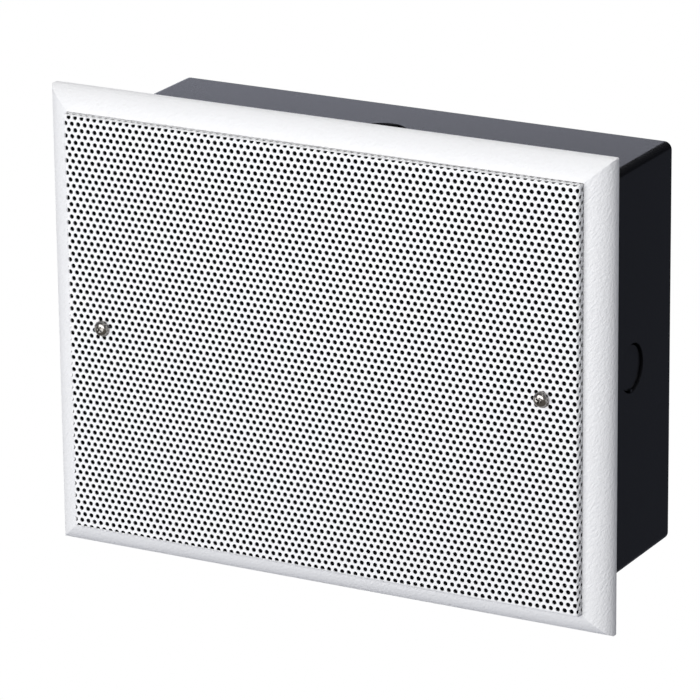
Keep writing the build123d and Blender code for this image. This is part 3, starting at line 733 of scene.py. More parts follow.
SPIDER_CLOTH = WovenCloth("resin-stiffened weave", (0.62, 0.46, 0.2), 0.0008, 0.0001)
CONE_PULP = PressedFibre("cone pulp", (0.05, 0.05, 0.055))
CAP_PULP = PressedFibre("dust cap pulp", (0.03, 0.03, 0.032))
FELT = PressedFibre("grey felt", (0.22, 0.22, 0.23), 0.002, 0.0006, 1.0)
FOAM = MouldedSurface("closed-cell foam", (0.03, 0.03, 0.03), 0.9, 0.0012, 0.0001)
RUBBER = MouldedSurface("surround rubber", (0.025, 0.025, 0.026), 0.55, 0.0008, 0.00001)
FERRITE = MouldedSurface("sintered ferrite", (0.06, 0.06, 0.065), 0.7, 0.0006, 0.00002)
LAMINATE = MouldedSurface("brown laminate", (0.3, 0.16, 0.07), 0.5, 0.0005, 0.00001)
CERAMIC = MouldedSurface("unglazed ceramic", (0.85, 0.83, 0.78), 0.75, 0.0006, 0.00003)
SLEEVING = MouldedSurface("wire sleeving", (0.03, 0.03, 0.03), 0.45, 0.002, 0.00001)

CAD_FINISHES: dict[str, Finish] = {
    "spacer_sleeves": ZINC,
    "rivet_nuts": ZINC,
    "baffle_plate": BOX_COAT,
    "baffle_screws": ZINC,
    "box_gasket": FOAM,
    "driver_gasket": FOAM,
    "driver_basket": BASKET_COAT,
    "driver_screws": ZINC,
    "driver_nuts": ZINC,
    "cone": CONE_PULP,
    "dust_cap": CAP_PULP,
    "voice_coil_former": FOIL,
    "voice_coil_winding": COPPER,
    "top_plate": ZINC,
    "magnet": FERRITE,
    "yoke": ZINC,
    "tag_strip": LAMINATE,
    "solder_tags": TIN,
    "terminal_block": CERAMIC,
    "terminal_clamps": TIN,
    "clamp_screws": ZINC,
    "terminal_fixing_screw": ZINC,
    "hook_up_wires": SLEEVING,
}


def tray_extent() -> Extent:
    """Returns the extent of the grille's tray, which sits a little left and low in its opening."""
    low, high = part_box("grille")
    return Extent(low - Vector((0.0, 0.0, TRAY_BELOW)), high - Vector((TRAY_TRIM, 0.0, TRAY_ABOVE)))


def axis_x(node: str) -> float:
    """Returns how far from the middle the axes of a node's left and right piece lie."""
    _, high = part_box(node)
    return high.x - high.z


def off_axis(spot: Vector, reach: float) -> float:
    """Returns a spot's distance from the nearer of two axes along Y, left and right of the middle."""
    return math.hypot(abs(spot.x) - reach, spot.z)


def runs_deep(edge: Any, least: float) -> bool:
    """Tells whether an edge covers more than a length along Y."""
    return abs(edge.verts[0].co.y - edge.verts[1].co.y) > least


@dataclass
class Bezel:
    """White bezel: convex rim with mitred corners, side wall, and the ledge behind the grille."""

    spread: float = 1.333
    lip_round: float = 0.0003
    corner_left: float = 0.002
    corner_right: float = 0.0009
    corner_slack: float = 0.00002
    sheet: float = 0.0014
    ledge_front: float = 0.003
    ledge_back: float = 0.0015
    gap: float = 0.00008
    mouth_w: float = 0.186
    mouth_h: float = 0.14
    arc_steps: int = 20
    lip_steps: int = 3
    hollow_steps: int = 5
    corner_steps: int = 8
    crease: float = 9.0

    def rim(self, width: float, lip: float) -> tuple[list[Vector], list[Vector]]:
        """Works out the rim's section, as inset from the outer face and height off the wall.

        Args:
            width: Width of the side bar.
            lip: Height of the inner edge.

        Returns:
            The outer line from the side wall to the inner edge, and the hollow's line back.
        """
        long = self.spread * width
        last = math.acos(1.0 - (width - self.lip_round) / long)
        tall = lip / math.sin(last)
        line = []
        for step in range(self.arc_steps + 1):
            angle = last * step / self.arc_steps
            line.append(Vector((long * (1.0 - math.cos(angle)), tall * math.sin(angle))))
        for step in range(1, self.lip_steps + 1):
            angle = math.pi / 2 * step / self.lip_steps
            drop = self.lip_round * (1 - math.cos(angle))
            line.append(Vector((width - self.lip_round * (1 - math.sin(angle)), lip - drop)))
        hollow = [Vector((width - self.sheet, 0.0))]
        for step in range(self.hollow_steps + 1):
            inset = width - self.sheet + (2 * self.sheet - width) * step / self.hollow_steps
            height = tall * math.sqrt(1.0 - (1.0 - inset / long) ** 2)
            hollow.append(Vector((inset, height - self.sheet)))
        hollow.append(Vector((self.sheet, 0.0)))
        return line, hollow

    def build(self) -> bpy.types.Object:
        """Draws the bezel loop by loop and rounds its outer corners.

        Returns:
            The bezel.
        """
        low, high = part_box("front_frame")
        seat, half = tray_extent().middle, tray_extent().half
        mid_z = Extent.of("back_box").middle.z
        open_w, open_h = half.x + self.gap, half.z + self.gap
        bar_w, bar_h = high.x - open_w, high.z - open_h
        line, hollow = self.rim(bar_w, -low.y)
        share = bar_h / bar_w

        def loop(spot: Vector) -> Ring:
            """Returns the loop at one spot of the rim's section."""
            drift = seat * (spot.x / bar_w)
            return Ring(high.x - spot.x, high.z - spot.x * share, -spot.y, drift.z, drift.x)

        rings = [loop(spot) for spot in line]
        rings += [
            Ring(open_w, open_h, -self.ledge_front, seat.z, seat.x),
            Ring(self.mouth_w / 2, self.mouth_h / 2, -self.ledge_front, mid_z),
            Ring(self.mouth_w / 2, self.mouth_h / 2, -self.ledge_back, mid_z),
            Ring(open_w, open_h, -self.ledge_back, seat.z, seat.x),
            Ring(open_w, open_h, 0.0, seat.z, seat.x),
        ]
        rings += [loop(spot) for spot in hollow]
        bench = Workbench.start("bezel", bpy.ops.mesh.primitive_plane_add, size=2.0)
        bench.place(Matrix.Diagonal((high.x, 1.0, high.z, 1.0)) @ FACE_ROOM)
        with bench.editing():
            bpy.ops.mesh.select_all(action="SELECT")
            bpy.ops.mesh.delete(type="ONLY_FACE")
        bench.close_rings(rings)
        bench.carve(self.corner_block(high, -low.y), Cut.KEEP_COMMON)
        bench.smooth(self.crease)
        return bench.dress(FRAME_COAT, "frame_coat", "front_frame")

    def corner_block(self, high: Vector, lip: float) -> Workbench:
        """Makes the block with rounded upright edges that the bezel is trimmed to.

        Args:
            high: The bezel's highest corner.
            lip: The bezel's height off the wall.

        Returns:
            A bench with the block on it.
        """
        half_w, half_h = high.x + self.corner_slack, high.z + self.corner_slack
        edge_x = half_w - self.corner_slack
        block = Workbench.block("corner_block", Vector(), (half_w, 2 * lip, half_h))
        with block.editing():
            for side, radius in ((Side.LEFT, self.corner_left), (Side.RIGHT, self.corner_right)):
                block.select(
                    Pick.EDGES,
                    lambda edge: runs_deep(edge, lip)
                    and all(point.co.x * side.value > edge_x for point in edge.verts),
                )
                bpy.ops.mesh.bevel(
                    offset=radius + self.corner_slack, segments=self.corner_steps, affect="EDGES"
                )
        return block


@dataclass
class PerforatedGrille:
    """White steel tray: a staggered perforation, folded flanges and open notches at the corners."""

    pitch: float = 0.003
    hole_radius: float = 0.00098
    hole_profile: float = 0.1789
    spare: int = 8
    sheet: float = 0.0004
    bend: float = 0.0012
    bend_steps: int = 6
    notch: float = 0.0011
    turn: float = math.radians(0.359)
    shift_x: float = 0.00647
    shift_z: float = 0.00692
    screw_clear: float = 0.0015
    screw_pitches: int = 3

    @property
    def rise(self) -> float:
        """Returns the height from one row of holes to the next."""
        return self.pitch * math.sqrt(3.0) / 2

    def build(self) -> list[bpy.types.Object]:
        """Perforates, trims and folds the sheet.

        Returns:
            The tray's two halves.
        """
        tray = tray_extent()
        sheet = self.blank(tray)
        self.fold(sheet, tray)
        halves = []
        for side in Side:
            half = sheet.copy(side.label("grille"), Matrix.Identity(4))
            with half.editing():
                half.bisect(Vector(), Vector((-side.value, 0.0, 0.0)), keep_behind=True)
            half.apply("SOLIDIFY", thickness=self.sheet, offset=-1.0, use_quality_normals=True)
            halves.append(half.dress(GRILLE_COAT, "grille_coat", "grille"))
        sheet.discard()
        return halves

    def blank(self, tray: Extent) -> Workbench:
        """Makes the flat perforated blank, cut and scored for folding.

        Args:
            tray: The folded tray's extent.

        Returns:
            A bench with the blank on it.
        """
        arc = self.bend * math.pi / 2
        flange = tray.high.y - tray.low.y - self.bend
        reach = Vector((tray.half.x - self.bend, tray.half.z - self.bend))
        tip = reach + Vector((arc + flange, arc + flange))
        columns = 2 * math.ceil((tip.x + abs(self.shift_x)) / self.pitch) + self.spare
        rows = 2 * math.ceil((tip.y + abs(self.shift_z)) / self.rise) + self.spare
        blank = Workbench.start(
            "grille_blank",
            bpy.ops.mesh.primitive_grid_add,
            x_subdivisions=columns,
            y_subdivisions=rows,
            size=1.0,
        )
        blank.place(Matrix.Diagonal((columns * self.pitch, rows * self.rise, 1.0, 1.0)))
        with blank.editing():
            self.perforate(blank)
        stand = Matrix.Translation((self.shift_x, tray.low.y, self.shift_z))
        blank.place(stand @ FACE_ROOM @ Matrix.Rotation(self.turn, 4, "Z"))
        with blank.editing():
            for normal, far, start in (
                (Vector((1, 0, 0)), tip.x, reach.x),
                (Vector((0, 0, 1)), tip.y, reach.y),
            ):
                for side in (normal, -normal):
                    blank.bisect(tray.middle + far * side, side, keep_behind=True)
                    for step in range(self.bend_steps + 1):
                        blank.bisect(tray.middle + (start + arc * step / self.bend_steps) * side, side)
            middle, screw_x = tray.middle, axis_x("grille_screws")
            blank.select(Pick.FACES, lambda face: self.not_sheet(face, middle, reach, screw_x))
            bpy.ops.mesh.delete(type="FACE")
            bpy.ops.mesh.select_all(action="SELECT")
            bpy.ops.mesh.delete_loose()
        return blank

    def perforate(self, blank: Workbench) -> None:
        """Staggers the grid of the blank and opens a hole at each of its points, in edit mode.

        Args:
            blank: The blank, flat on the XY plane.
        """
        blank.select(Pick.POINTS, lambda point: round(point.co.y / self.rise) % 2 == 1)
        bpy.ops.transform.translate(value=(self.pitch / 2, 0.0, 0.0))
        bpy.ops.mesh.select_all(action="SELECT")
        bpy.ops.mesh.quads_convert_to_tris(quad_method="SHORTEST_DIAGONAL")
        blank.select(Pick.POINTS, lambda point: not point.is_boundary)
        bpy.ops.mesh.bevel(
            offset=self.hole_radius,
            offset_type="OFFSET",
            segments=2,
            profile=self.hole_profile,
            affect="VERTICES",
            clamp_overlap=False,
        )
        blank.select(Pick.FACES, lambda face: self.in_hole(face.calc_center_median()))
        bpy.ops.mesh.delete(type="FACE")

    def in_hole(self, spot: Vector) -> bool:
        """Tells whether a spot of the flat lattice lies inside a hole."""
        row = round(spot.y / self.rise)
        start = self.pitch / 2 if row % 2 else 0.0
        column = round((spot.x - start) / self.pitch)
        off = math.hypot(spot.x - start - column * self.pitch, spot.y - row * self.rise)
        return off < self.hole_radius

    def not_sheet(self, face: Any, middle: Vector, reach: Vector, screw_x: float) -> bool:
        """Tells whether a face lies in a corner notch or where a screw passes.

        Args:
            face: The face.
            middle: The tray's middle.
            reach: Half sizes of the flat front.
            screw_x: Distance of the screws from the middle.

        Returns:
            True if the face is removed.
        """
        spot = face.calc_center_median()
        past = min(abs(spot.x - middle.x) - reach.x, abs(spot.z - middle.z) - reach.y)
        if past > self.notch:
            return True
        if off_axis(spot, screw_x) > self.screw_pitches * self.pitch:
            return False
        return any(off_axis(point.co, screw_x) < self.screw_clear for point in face.verts)

    def fold(self, sheet: Workbench, tray: Extent) -> None:
        """Rolls what lies past the fold lines round the bends.

        Args:
            sheet: The flat blank.
            tray: The folded tray's extent.
        """
        mesh = sheet.piece.data
        points = np.empty(len(mesh.vertices) * 3)
        mesh.vertices.foreach_get("co", points)
        points = points.reshape(-1, 3)
        middle, half = tray.middle, tray.half
        for axis in (0, 2):
            limit = half[axis] - self.bend
            points[:, axis] -= middle[axis]
            past = np.abs(points[:, axis]) - limit
            over = past > 0
            angle = np.clip(past / self.bend, 0, math.pi / 2)
            straight = np.clip(past - self.bend * math.pi / 2, 0, None)
            sign = np.sign(points[:, axis])
            points[over, axis] = (sign * (limit + self.bend * np.sin(angle)))[over]
            points[:, 1] += self.bend * (1 - np.cos(angle)) + straight
            points[:, axis] += middle[axis]
        mesh.vertices.foreach_set("co", points.ravel())
        mesh.update()


@dataclass
class GrilleFixing:
    """Two long zinc screws through the grille, each on a washer."""

    head_power: float = 2.9
    head_swell: float = 0.00015
    head_steps: int = 14
    shank_radius: float = 0.0015
    tip_chamfer: float = 0.0005
    recess_length: float = 0.0036
    recess_width: float = 0.00095
    recess_depth: float = 0.0014
    recess_taper: float = 0.55
    recess_turn_left: float = math.radians(40.0)
    recess_turn_right: float = math.radians(25.0)
    washer_bore: float = 0.0021
    washer_trim: float = 0.0003
    washer_sag: tuple[float, float, float] = (0.0, 0.0, -0.0004)
    washer_round: float = 0.0001
    sides: int = 48
    screw_crease: float = 35.0
    washer_crease: float = 50.0

    def build(self) -> list[bpy.types.Object]:
        """Makes one screw and one washer and copies them to both sides.

        Returns:
            The screws and washers.
        """
        low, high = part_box("grille_screws")
        ring_low, ring_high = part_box("grille_screw_washers")
        spot_x = axis_x("grille_screws")
        screw = self.screw(high.z + self.head_swell, low.y, ring_low.y, high.y)
        washer = self.washer(ring_high.z - self.washer_trim, ring_low.y, ring_high.y)
        turns = {Side.LEFT: self.recess_turn_left, Side.RIGHT: self.recess_turn_right}
        made = []
        for side in Side:
            there = Matrix.Translation((side.value * spot_x, 0.0, 0.0))
            turned = there @ Matrix.Rotation(turns[side], 4, "Y")
            sagged = Matrix.Translation(self.washer_sag) @ there
            turned_screw = screw.copy(side.label("screw"), turned)
            # The heads wear the darker copy of the zinc plate, which paints shade on them.
            made.append(turned_screw.dress(SHADED_HEAD_ZINC, "zinc_steel", "grille_screws"))
            sagged_washer = washer.copy(side.label("washer"), sagged)
            made.append(sagged_washer.dress(ZINC, "zinc_steel", "grille_screw_washers"))
        screw.discard()
        washer.discard()
        return made

    def screw(self, head: float, front: float, seat: float, tip: float) -> Workbench:
        """Makes a pan-head screw on the Y axis.

        Args:
            head: Radius of the head.
            front: Y of the head's top.
            seat: Y of the head's underside.
            tip: Y of the shank's end.

        Returns:
            A bench with the screw on it.
        """
        rings = []
        for step in range(1, self.head_steps + 1):
            angle = math.pi / 2 * step / self.head_steps
            radius = head * math.sin(angle) ** (2 / self.head_power)
            height = (seat - front) * math.cos(angle) ** (2 / self.head_power)
            rings.append(Ring(radius, radius, seat - max(height, 0.0)))
        shank = self.shank_radius
        rings.append(Ring(shank, shank, seat))
        rings.append(Ring(shank, shank, tip - self.tip_chamfer))
        rings.append(Ring(shank - self.tip_chamfer, shank - self.tip_chamfer, tip))
        bench = Workbench.circle("screw_model", rings[0], self.sides, filled=True)
        with bench.editing():
            bench.select_open_edges()
            bench.draw_rings(rings)
            bpy.ops.mesh.edge_face_add()
        bench.face_outwards()
        for quarter in range(2):
            bench.carve(self.wing(front, quarter), Cut.REMOVE)
        bench.smooth(self.screw_crease)
        return bench

    def wing(self, front: float, quarter: int) -> Workbench:
        """Makes the tapered block that cuts one slot of the cross recess.

        Args:
            front: Y of the head's top.
            quarter: How many quarter turns the slot is turned.

        Returns:
            A bench with the block on it.
        """
        half = (self.recess_length / 2, self.recess_depth, self.recess_width / 2)
        block = Workbench.block("recess_wing", Vector((0.0, front, 0.0)), half)
        with block.editing():
            block.select(Pick.FACES, lambda face: face.normal.y > FACING)
            bpy.ops.transform.resize(value=(self.recess_taper, 1.0, self.recess_taper))
        block.place(Matrix.Rotation(math.pi / 2 * quarter, 4, "Y"))
        return block

    def washer(self, radius: float, front: float, back: float) -> Workbench:
        """Makes a washer on the Y axis.

        Args:
            radius: Outer radius.
            front: Y of the face under the head.
            back: Y of the face on the grille.

        Returns:
            A bench with the washer on it.
        """
        soft, bore = self.washer_round, self.washer_bore
        rings = [
            Ring(radius, radius, back),
            Ring(radius, radius, front + soft),
            Ring(radius - soft, radius - soft, front),
            Ring(bore, bore, front),
            Ring(bore, bore, back),
        ]
        bench = Workbench.circle("washer_model", rings[0], self.sides)
        bench.close_rings(rings)
        bench.smooth(self.washer_crease)
        return bench


@dataclass
class AcousticFleece:
    """Black cloth stretched behind the perforation; its edges, turned in along the flanges, also stand
    as painted shade behind the flange holes.
    """

    thickness: float = 0.0004
    columns: int = 76
    rows: int = 58
    sleeve_clear: float = 0.0036
    # Height of the turned-in edge, a black band behind the flange holes that paints their shade.
    rim: float = 0.0052
    inset: float = 0.00066
    edge_share: float = 0.998
    ripple_height: float = 0.00004
    ripple_x: float = 190.0
    ripple_z: float = 230.0
    ripple_start: float = 1.0
    crease: float = 60.0

    def build(self) -> bpy.types.Object:
        """Stretches the cloth, opens it for the sleeves, turns its edges in as painted shade behind the
        flange holes and thickens it.

        Returns:
            The cloth.
        """
        tray = tray_extent()
        spot = Vector((tray.middle.x, Extent.of("acoustic_fleece").middle.y, tray.middle.z))
        half = tray.half - Vector((self.inset, 0.0, self.inset))
        bench = Workbench.start(
            "fleece_cloth",
            bpy.ops.mesh.primitive_grid_add,
            x_subdivisions=self.columns,
            y_subdivisions=self.rows,
            size=2.0,
        )
        bench.place(Matrix.Translation(spot) @ FACE_ROOM @ Matrix.Diagonal((half.x, half.z, 1.0, 1.0)))
        sleeve_x = axis_x("spacer_sleeves")
        edge = self.edge_share * half
        with bench.editing():
            bench.select(
                Pick.FACES,
                lambda face: off_axis(face.calc_center_median(), sleeve_x) < self.sleeve_clear,
            )
            bpy.ops.mesh.delete(type="FACE")
            bench.select(
                Pick.EDGES,
                lambda line: line.is_boundary
                and all(
                    abs(point.co.x - spot.x) > edge.x or abs(point.co.z - spot.z) > edge.z
                    for point in line.verts
                ),
            )
            # The turned-in edge is black cloth set behind the flange holes, painted shade that makes
            # them read dark.
            bpy.ops.mesh.extrude_edges_move(TRANSFORM_OT_translate={"value": (0.0, self.rim, 0.0)})
        self.ripple(bench.piece.data)
        bench.apply("SOLIDIFY", thickness=self.thickness, offset=0.0)
        bench.smooth(self.crease)
        piece = bench.dress(FLEECE_CLOTH, "fleece", "acoustic_fleece")
        return piece

    def ripple(self, mesh: bpy.types.Mesh) -> None:
        """Gives the cloth the faint waves of a hand-stretched sheet."""
        for point in mesh.vertices:
            across = math.sin(point.co.x * self.ripple_x)
            up = math.sin(point.co.z * self.ripple_z + self.ripple_start)
            point.co.y += self.ripple_height * (across * up)


@dataclass
class BackBox:
    """Black steel box: folded walls, a front flange and round knockouts pushed inwards."""

    bend: float = 0.0032
    back_round: float = 0.0003
    sheet: float = 0.0015
    mouth_w: float = 0.186
    mouth_h: float = 0.14
    knockout_radius: float = 0.0102
    knockout_y: float = 0.0435
    knockout_push: float = 0.001
    knockout_slit: float = 0.001
    knockout_tab: float = 0.0016
    fixing_w: float = 0.18
    fixing_h: float = 0.12
    fixing_radius: float = 0.00225
    block_screw_x: float = 0.082
    block_screw_radius: float = 0.0016
    nut_x: float = 0.099
    nut_radius: float = 0.0026
    bend_steps: int = 7
    back_steps: int = 3
    knockout_sides: int = 72
    hole_sides: int = 32
    near: float = 1e-6
    crease: float = 32.0

    def build(self) -> bpy.types.Object:
        """Folds the box and cuts its holes and knockouts.

        Returns:
            The box.
        """
        shell = Extent.of("back_box")
        middle, half = shell.middle, shell.half
        rear = shell.high.y - self.near
        bench = Workbench.block("box_shell", middle, half)
        with bench.editing():
            bench.select(Pick.EDGES, lambda edge: runs_deep(edge, half.y))
            bpy.ops.mesh.bevel(offset=self.bend, segments=self.bend_steps, affect="EDGES")
            bench.select(Pick.EDGES, lambda edge: min(point.co.y for point in edge.verts) > rear)
            bpy.ops.mesh.bevel(offset=self.back_round, segments=self.back_steps, affect="EDGES")
            bench.select(Pick.FACES, lambda face: face.normal.y < -FACING)
            bpy.ops.mesh.extrude_region_move(TRANSFORM_OT_translate={"value": (0.0, 0.0, 0.0)})
            bpy.ops.transform.resize(
                value=(self.mouth_w / 2 / half.x, 1.0, self.mouth_h / 2 / half.z),
                center_override=(middle.x, shell.low.y, middle.z),
            )
            bpy.ops.mesh.delete(type="FACE")
        bench.apply("SOLIDIFY", thickness=self.sheet, offset=-1.0, use_even_offset=True)
        self.knock(bench, middle, half)
        self.pierce(bench, middle, shell.high)
        bench.smooth(self.crease)
        bench.apply("WEIGHTED_NORMAL", keep_sharp=True)
        return bench.dress(BOX_COAT, "black_coat", "back_box")

    def knock(self, bench: Workbench, middle: Vector, half: Vector) -> None:
        """Opens each side wall round a disc that is pushed in and held by one tab.

        Args:
            bench: The box.
            middle: The box's middle.
            half: The box's half sizes.
        """
        for quarter in range(4):
            reach = half.z if quarter % 2 == 0 else half.x
            turn = Matrix.Rotation(math.pi / 2 * quarter, 4, "Y")
            stand = Matrix.Translation((middle.x, self.knockout_y, middle.z)) @ turn
            inner = reach - self.sheet - self.knockout_push
            bench.carve(self.disc(stand, inner, reach + self.sheet), Cut.REMOVE)
            slug = self.disc(stand, inner, reach - self.knockout_push, self.knockout_slit)
            bench.carve(slug, Cut.JOIN)
            across = self.knockout_radius - self.knockout_slit / 2
            spot = Vector((across, 0.0, reach - self.knockout_push))
            tab = Workbench.block("knockout_tab", spot, [self.knockout_tab / 2] * 3)
            tab.place(stand)
            bench.carve(tab, Cut.JOIN)

    def disc(self, stand: Matrix, bottom: float, top: float, less: float = 0.0) -> Workbench:
        """Makes a disc of a knockout's size.

        Args:
            stand: Turns up into the wall's outward direction.
            bottom: Where the disc starts along that direction.
            top: Where it ends.
            less: What its radius falls short of the knockout's.

        Returns:
            A bench with the disc on it.
        """
        there = stand @ Matrix.Translation((0.0, 0.0, (top + bottom) / 2))
        radius = self.knockout_radius - less
        return Workbench.rod("knockout_disc", radius, top - bottom, self.knockout_sides, there)

    def pierce(self, bench: Workbench, middle: Vector, high: Vector) -> None:
        """Drills the fixing holes, the terminal block's hole and the rivet nuts' holes.

        Args:
            bench: The box.
            middle: The box's middle.
            high: The box's highest corner.
        """
        spots = [
            (across * self.fixing_w / 2, high.y, middle.z + up * self.fixing_h / 2, self.fixing_radius)
            for across in (-1, 1)
            for up in (-1, 1)
        ]
        spots.append((self.block_screw_x, high.y, middle.z, self.block_screw_radius))
        spots += [(side.value * self.nut_x, 0.0, 0.0, self.nut_radius) for side in Side]
        for *spot, radius in spots:
            bench.drill(spot, radius, 4 * self.sheet, self.hole_sides)


@dataclass
class ConeSuspension:
    """The surround and the spider, which flex between the chassis and the cone."""

    sides: int = 96
    surround_sheet: float = 0.0005
    surround_land: float = 0.0042
    surround_roll: float = 0.0043
    surround_lip: float = 0.0032
    roll_steps: int = 12
    spider_sheet: float = 0.0005
    spider_inner: float = 0.0132
    spider_flat: float = 0.002
    spider_land: float = 0.0052
    spider_waves: int = 3
    spider_height: float = 0.001
    wave_steps: int = 10
    roll_lift: float = 0.00001
    crease: float = 40.0

    def build(self) -> list[bpy.types.Object]:
        """Makes both pieces and bakes their placement into their meshes.

        Returns:
            The surround and the spider.
        """
        return [self.surround(), self.spider()]

    def lathe(self, name: str, section: Sequence[Vector], mid_z: float) -> Workbench:
        """Turns a closed section of radius and Y round the driver's axis.

        Args:
            name: Name of the piece.
            section: The section's points in order.
            mid_z: Height of the axis.

        Returns:
            A bench with the piece on it.
        """
        rings = [Ring(spot.x, spot.x, spot.y, mid_z) for spot in section]
        bench = Workbench.circle(name, rings[0], self.sides)
        bench.close_rings(rings)
        bench.smooth(self.crease)
        return bench

    def flex(self, piece: bpy.types.Object) -> None:
        """Bakes a piece's placement into its mesh.

        Args:
            piece: The surround or the spider.
        """
        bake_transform(piece)

    def surround(self) -> bpy.types.Object:
        """Makes the half roll with its land and lip.

        Returns:
            The surround.
        """
        solid = Extent.of("surround")
        mid_z = solid.middle.z
        rim, thick = solid.high.x, self.surround_sheet
        roll_out = rim - self.surround_land
        roll_mid = roll_out - self.surround_roll
        roll_in = roll_mid - self.surround_roll
        lip = roll_in - self.surround_lip
        back, front = solid.high.y, solid.high.y - thick
        section = [Vector((rim, back)), Vector((rim, front))]
        section += self.half_roll(roll_mid, self.surround_roll, front)
        section += [Vector((lip, front)), Vector((lip, back))]
        section += reversed(self.half_roll(roll_mid, self.surround_roll - thick, back - self.roll_lift))
        bench = self.lathe("surround_roll", section, mid_z)
        piece = bench.dress(RUBBER, "surround_rubber", "surround")
        self.flex(piece)
        return piece

    def half_roll(self, middle: float, radius: float, base: float) -> list[Vector]:
        """Works out a half circle of the surround's section, from the rim inwards.

        Args:
            middle: Distance of its middle from the driver's axis.
            radius: Its radius.
            base: Y of its ends.

        Returns:
            The points of the half circle.
        """
        angles = [math.pi * step / self.roll_steps for step in range(self.roll_steps + 1)]
        return [
            Vector((middle + radius * math.cos(angle), base - radius * math.sin(angle)))
            for angle in angles
        ]

    def spider(self) -> bpy.types.Object:
        """Makes the corrugated disc.

        Returns:
            The spider.
        """
        solid = Extent.of("spider")
        mid_y, mid_z = solid.middle.y, solid.middle.z
        rim = solid.high.x
        start, end = self.spider_inner + self.spider_flat, rim - self.spider_land
        line = [Vector((self.spider_inner, mid_y)), Vector((start, mid_y))]
        total = self.spider_waves * self.wave_steps
        for step in range(1, total):
            radius = start + (end - start) * step / total
            swing = math.sin(2 * math.pi * step / self.wave_steps)
            line.append(Vector((radius, mid_y - self.spider_height * swing)))
        line += [Vector((end, mid_y)), Vector((rim, mid_y))]
        thick = Vector((0.0, self.spider_sheet / 2))
        section = [spot - thick for spot in line] + [spot + thick for spot in reversed(line)]
        bench = self.lathe("spider_disc", section, mid_z)
        piece = bench.dress(SPIDER_CLOTH, "spider_cloth", "spider")
        self.flex(piece)
        return piece


@dataclass
class DampingPad:
    """Felt pad on the inside of the box's back wall."""

    hole_radius: float = 0.007
    hole_sides: int = 40
    fixing_x: float = -0.09
    fixing_h: float = 0.12
    voxel: float = 0.0022
    soften: float = 0.5
    soften_rounds: int = 3
    flat_back: float = 0.003
    lump_height: float = 0.0006
    lump_x: float = 310.0
    lump_z: float = 270.0
    lump_sway: float = 3.0
    sway_z: float = 140.0
    crease: float = 60.0

    def build(self) -> bpy.types.Object:
        """Cuts the pad, softens its edges and makes its face uneven.

        Returns:
            The pad.
        """
        pad = Extent.of("damping_pad")
        middle, half = pad.middle, pad.half
        bench = Workbench.block("felt_pad", middle, half)
        for up in (-1, 1):
            spot = (self.fixing_x, middle.y, middle.z + up * self.fixing_h / 2)
            bench.drill(spot, self.hole_radius, 4 * half.y, self.hole_sides)
        bench.apply("REMESH", mode="VOXEL", voxel_size=self.voxel)
        bench.apply("SMOOTH", factor=self.soften, iterations=self.soften_rounds)
        for point in bench.piece.data.vertices:
            if point.co.y < pad.high.y - self.flat_back:
                sway = self.lump_sway * math.sin(point.co.z * self.sway_z)
                wave = math.sin(point.co.x * self.lump_x + sway) * math.sin(point.co.z * self.lump_z)
                point.co.y += self.lump_height * (0.5 + 0.5 * wave)
        bench.smooth(self.crease)
        piece = bench.dress(FELT, "damping_felt", "damping_pad")
        return piece


@dataclass(frozen=True)
class Softbox:
    """One soft lamp, aimed at the middle of the part."""

    name: str
    direction: tuple[float, float, float]
    distance: float
    width: float
    height: float
    watts: float
    color: tuple[float, float, float] = (1.0, 1.0, 1.0)

    def build(self, aim: Vector) -> None:
        """Hangs the lamp.

        Args:
            aim: The point that it lights.
        """
        lamp = bpy.data.lights.new(self.name, "AREA")
        lamp.shape = "RECTANGLE"
        lamp.size, lamp.size_y = self.width, self.height
        lamp.energy = self.watts
        lamp.color = self.color
        stand = bpy.data.objects.new(self.name, lamp)
        away = Vector(self.direction).normalized()
        stand.location = aim + away * self.distance
        stand.rotation_euler = away.to_track_quat("Z", "Y").to_euler()
        stand.visible_camera = False
        bpy.context.collection.objects.link(stand)


@dataclass(frozen=True)
class Card:
    """A card of an even tone that only glossy surfaces see."""

    name: str
    turn: float
    rise: float
    distance: float
    width: float
    height: float
    tone: tuple[float, float, float] = (0.0, 0.0, 0.0)

    def build(self, aim: Vector) -> None:
        """Hangs the card, turned from +Y towards +X and raised by degrees.

        Args:
            aim: The point that it faces.
        """
        turn, rise = math.radians(self.turn), math.radians(self.rise)
        away = Vector((math.sin(turn) * math.cos(rise), math.cos(turn) * math.cos(rise), math.sin(rise)))
        bench = Workbench.start(self.name, bpy.ops.mesh.primitive_plane_add, size=1.0)
        bench.place(
            Matrix.Translation(aim + away * self.distance)
            @ away.to_track_quat("Z", "Y").to_matrix().to_4x4()
            @ Matrix.Diagonal((self.width, self.height, 1.0, 1.0))
        )
        desk = NodeDesk(self.name)
        desk.shade(Base_Color=(0.0, 0.0, 0.0, 1.0), Roughness=1.0, Specular_IOR_Level=0.0)
        desk.shade(Emission_Color=(*self.tone, 1.0), Emission_Strength=1.0)
        card = bench.piece
        card.data.materials.append(desk.material)
        for ray in ("camera", "diffuse", "transmission", "shadow"):
            setattr(card, f"visible_{ray}", False)


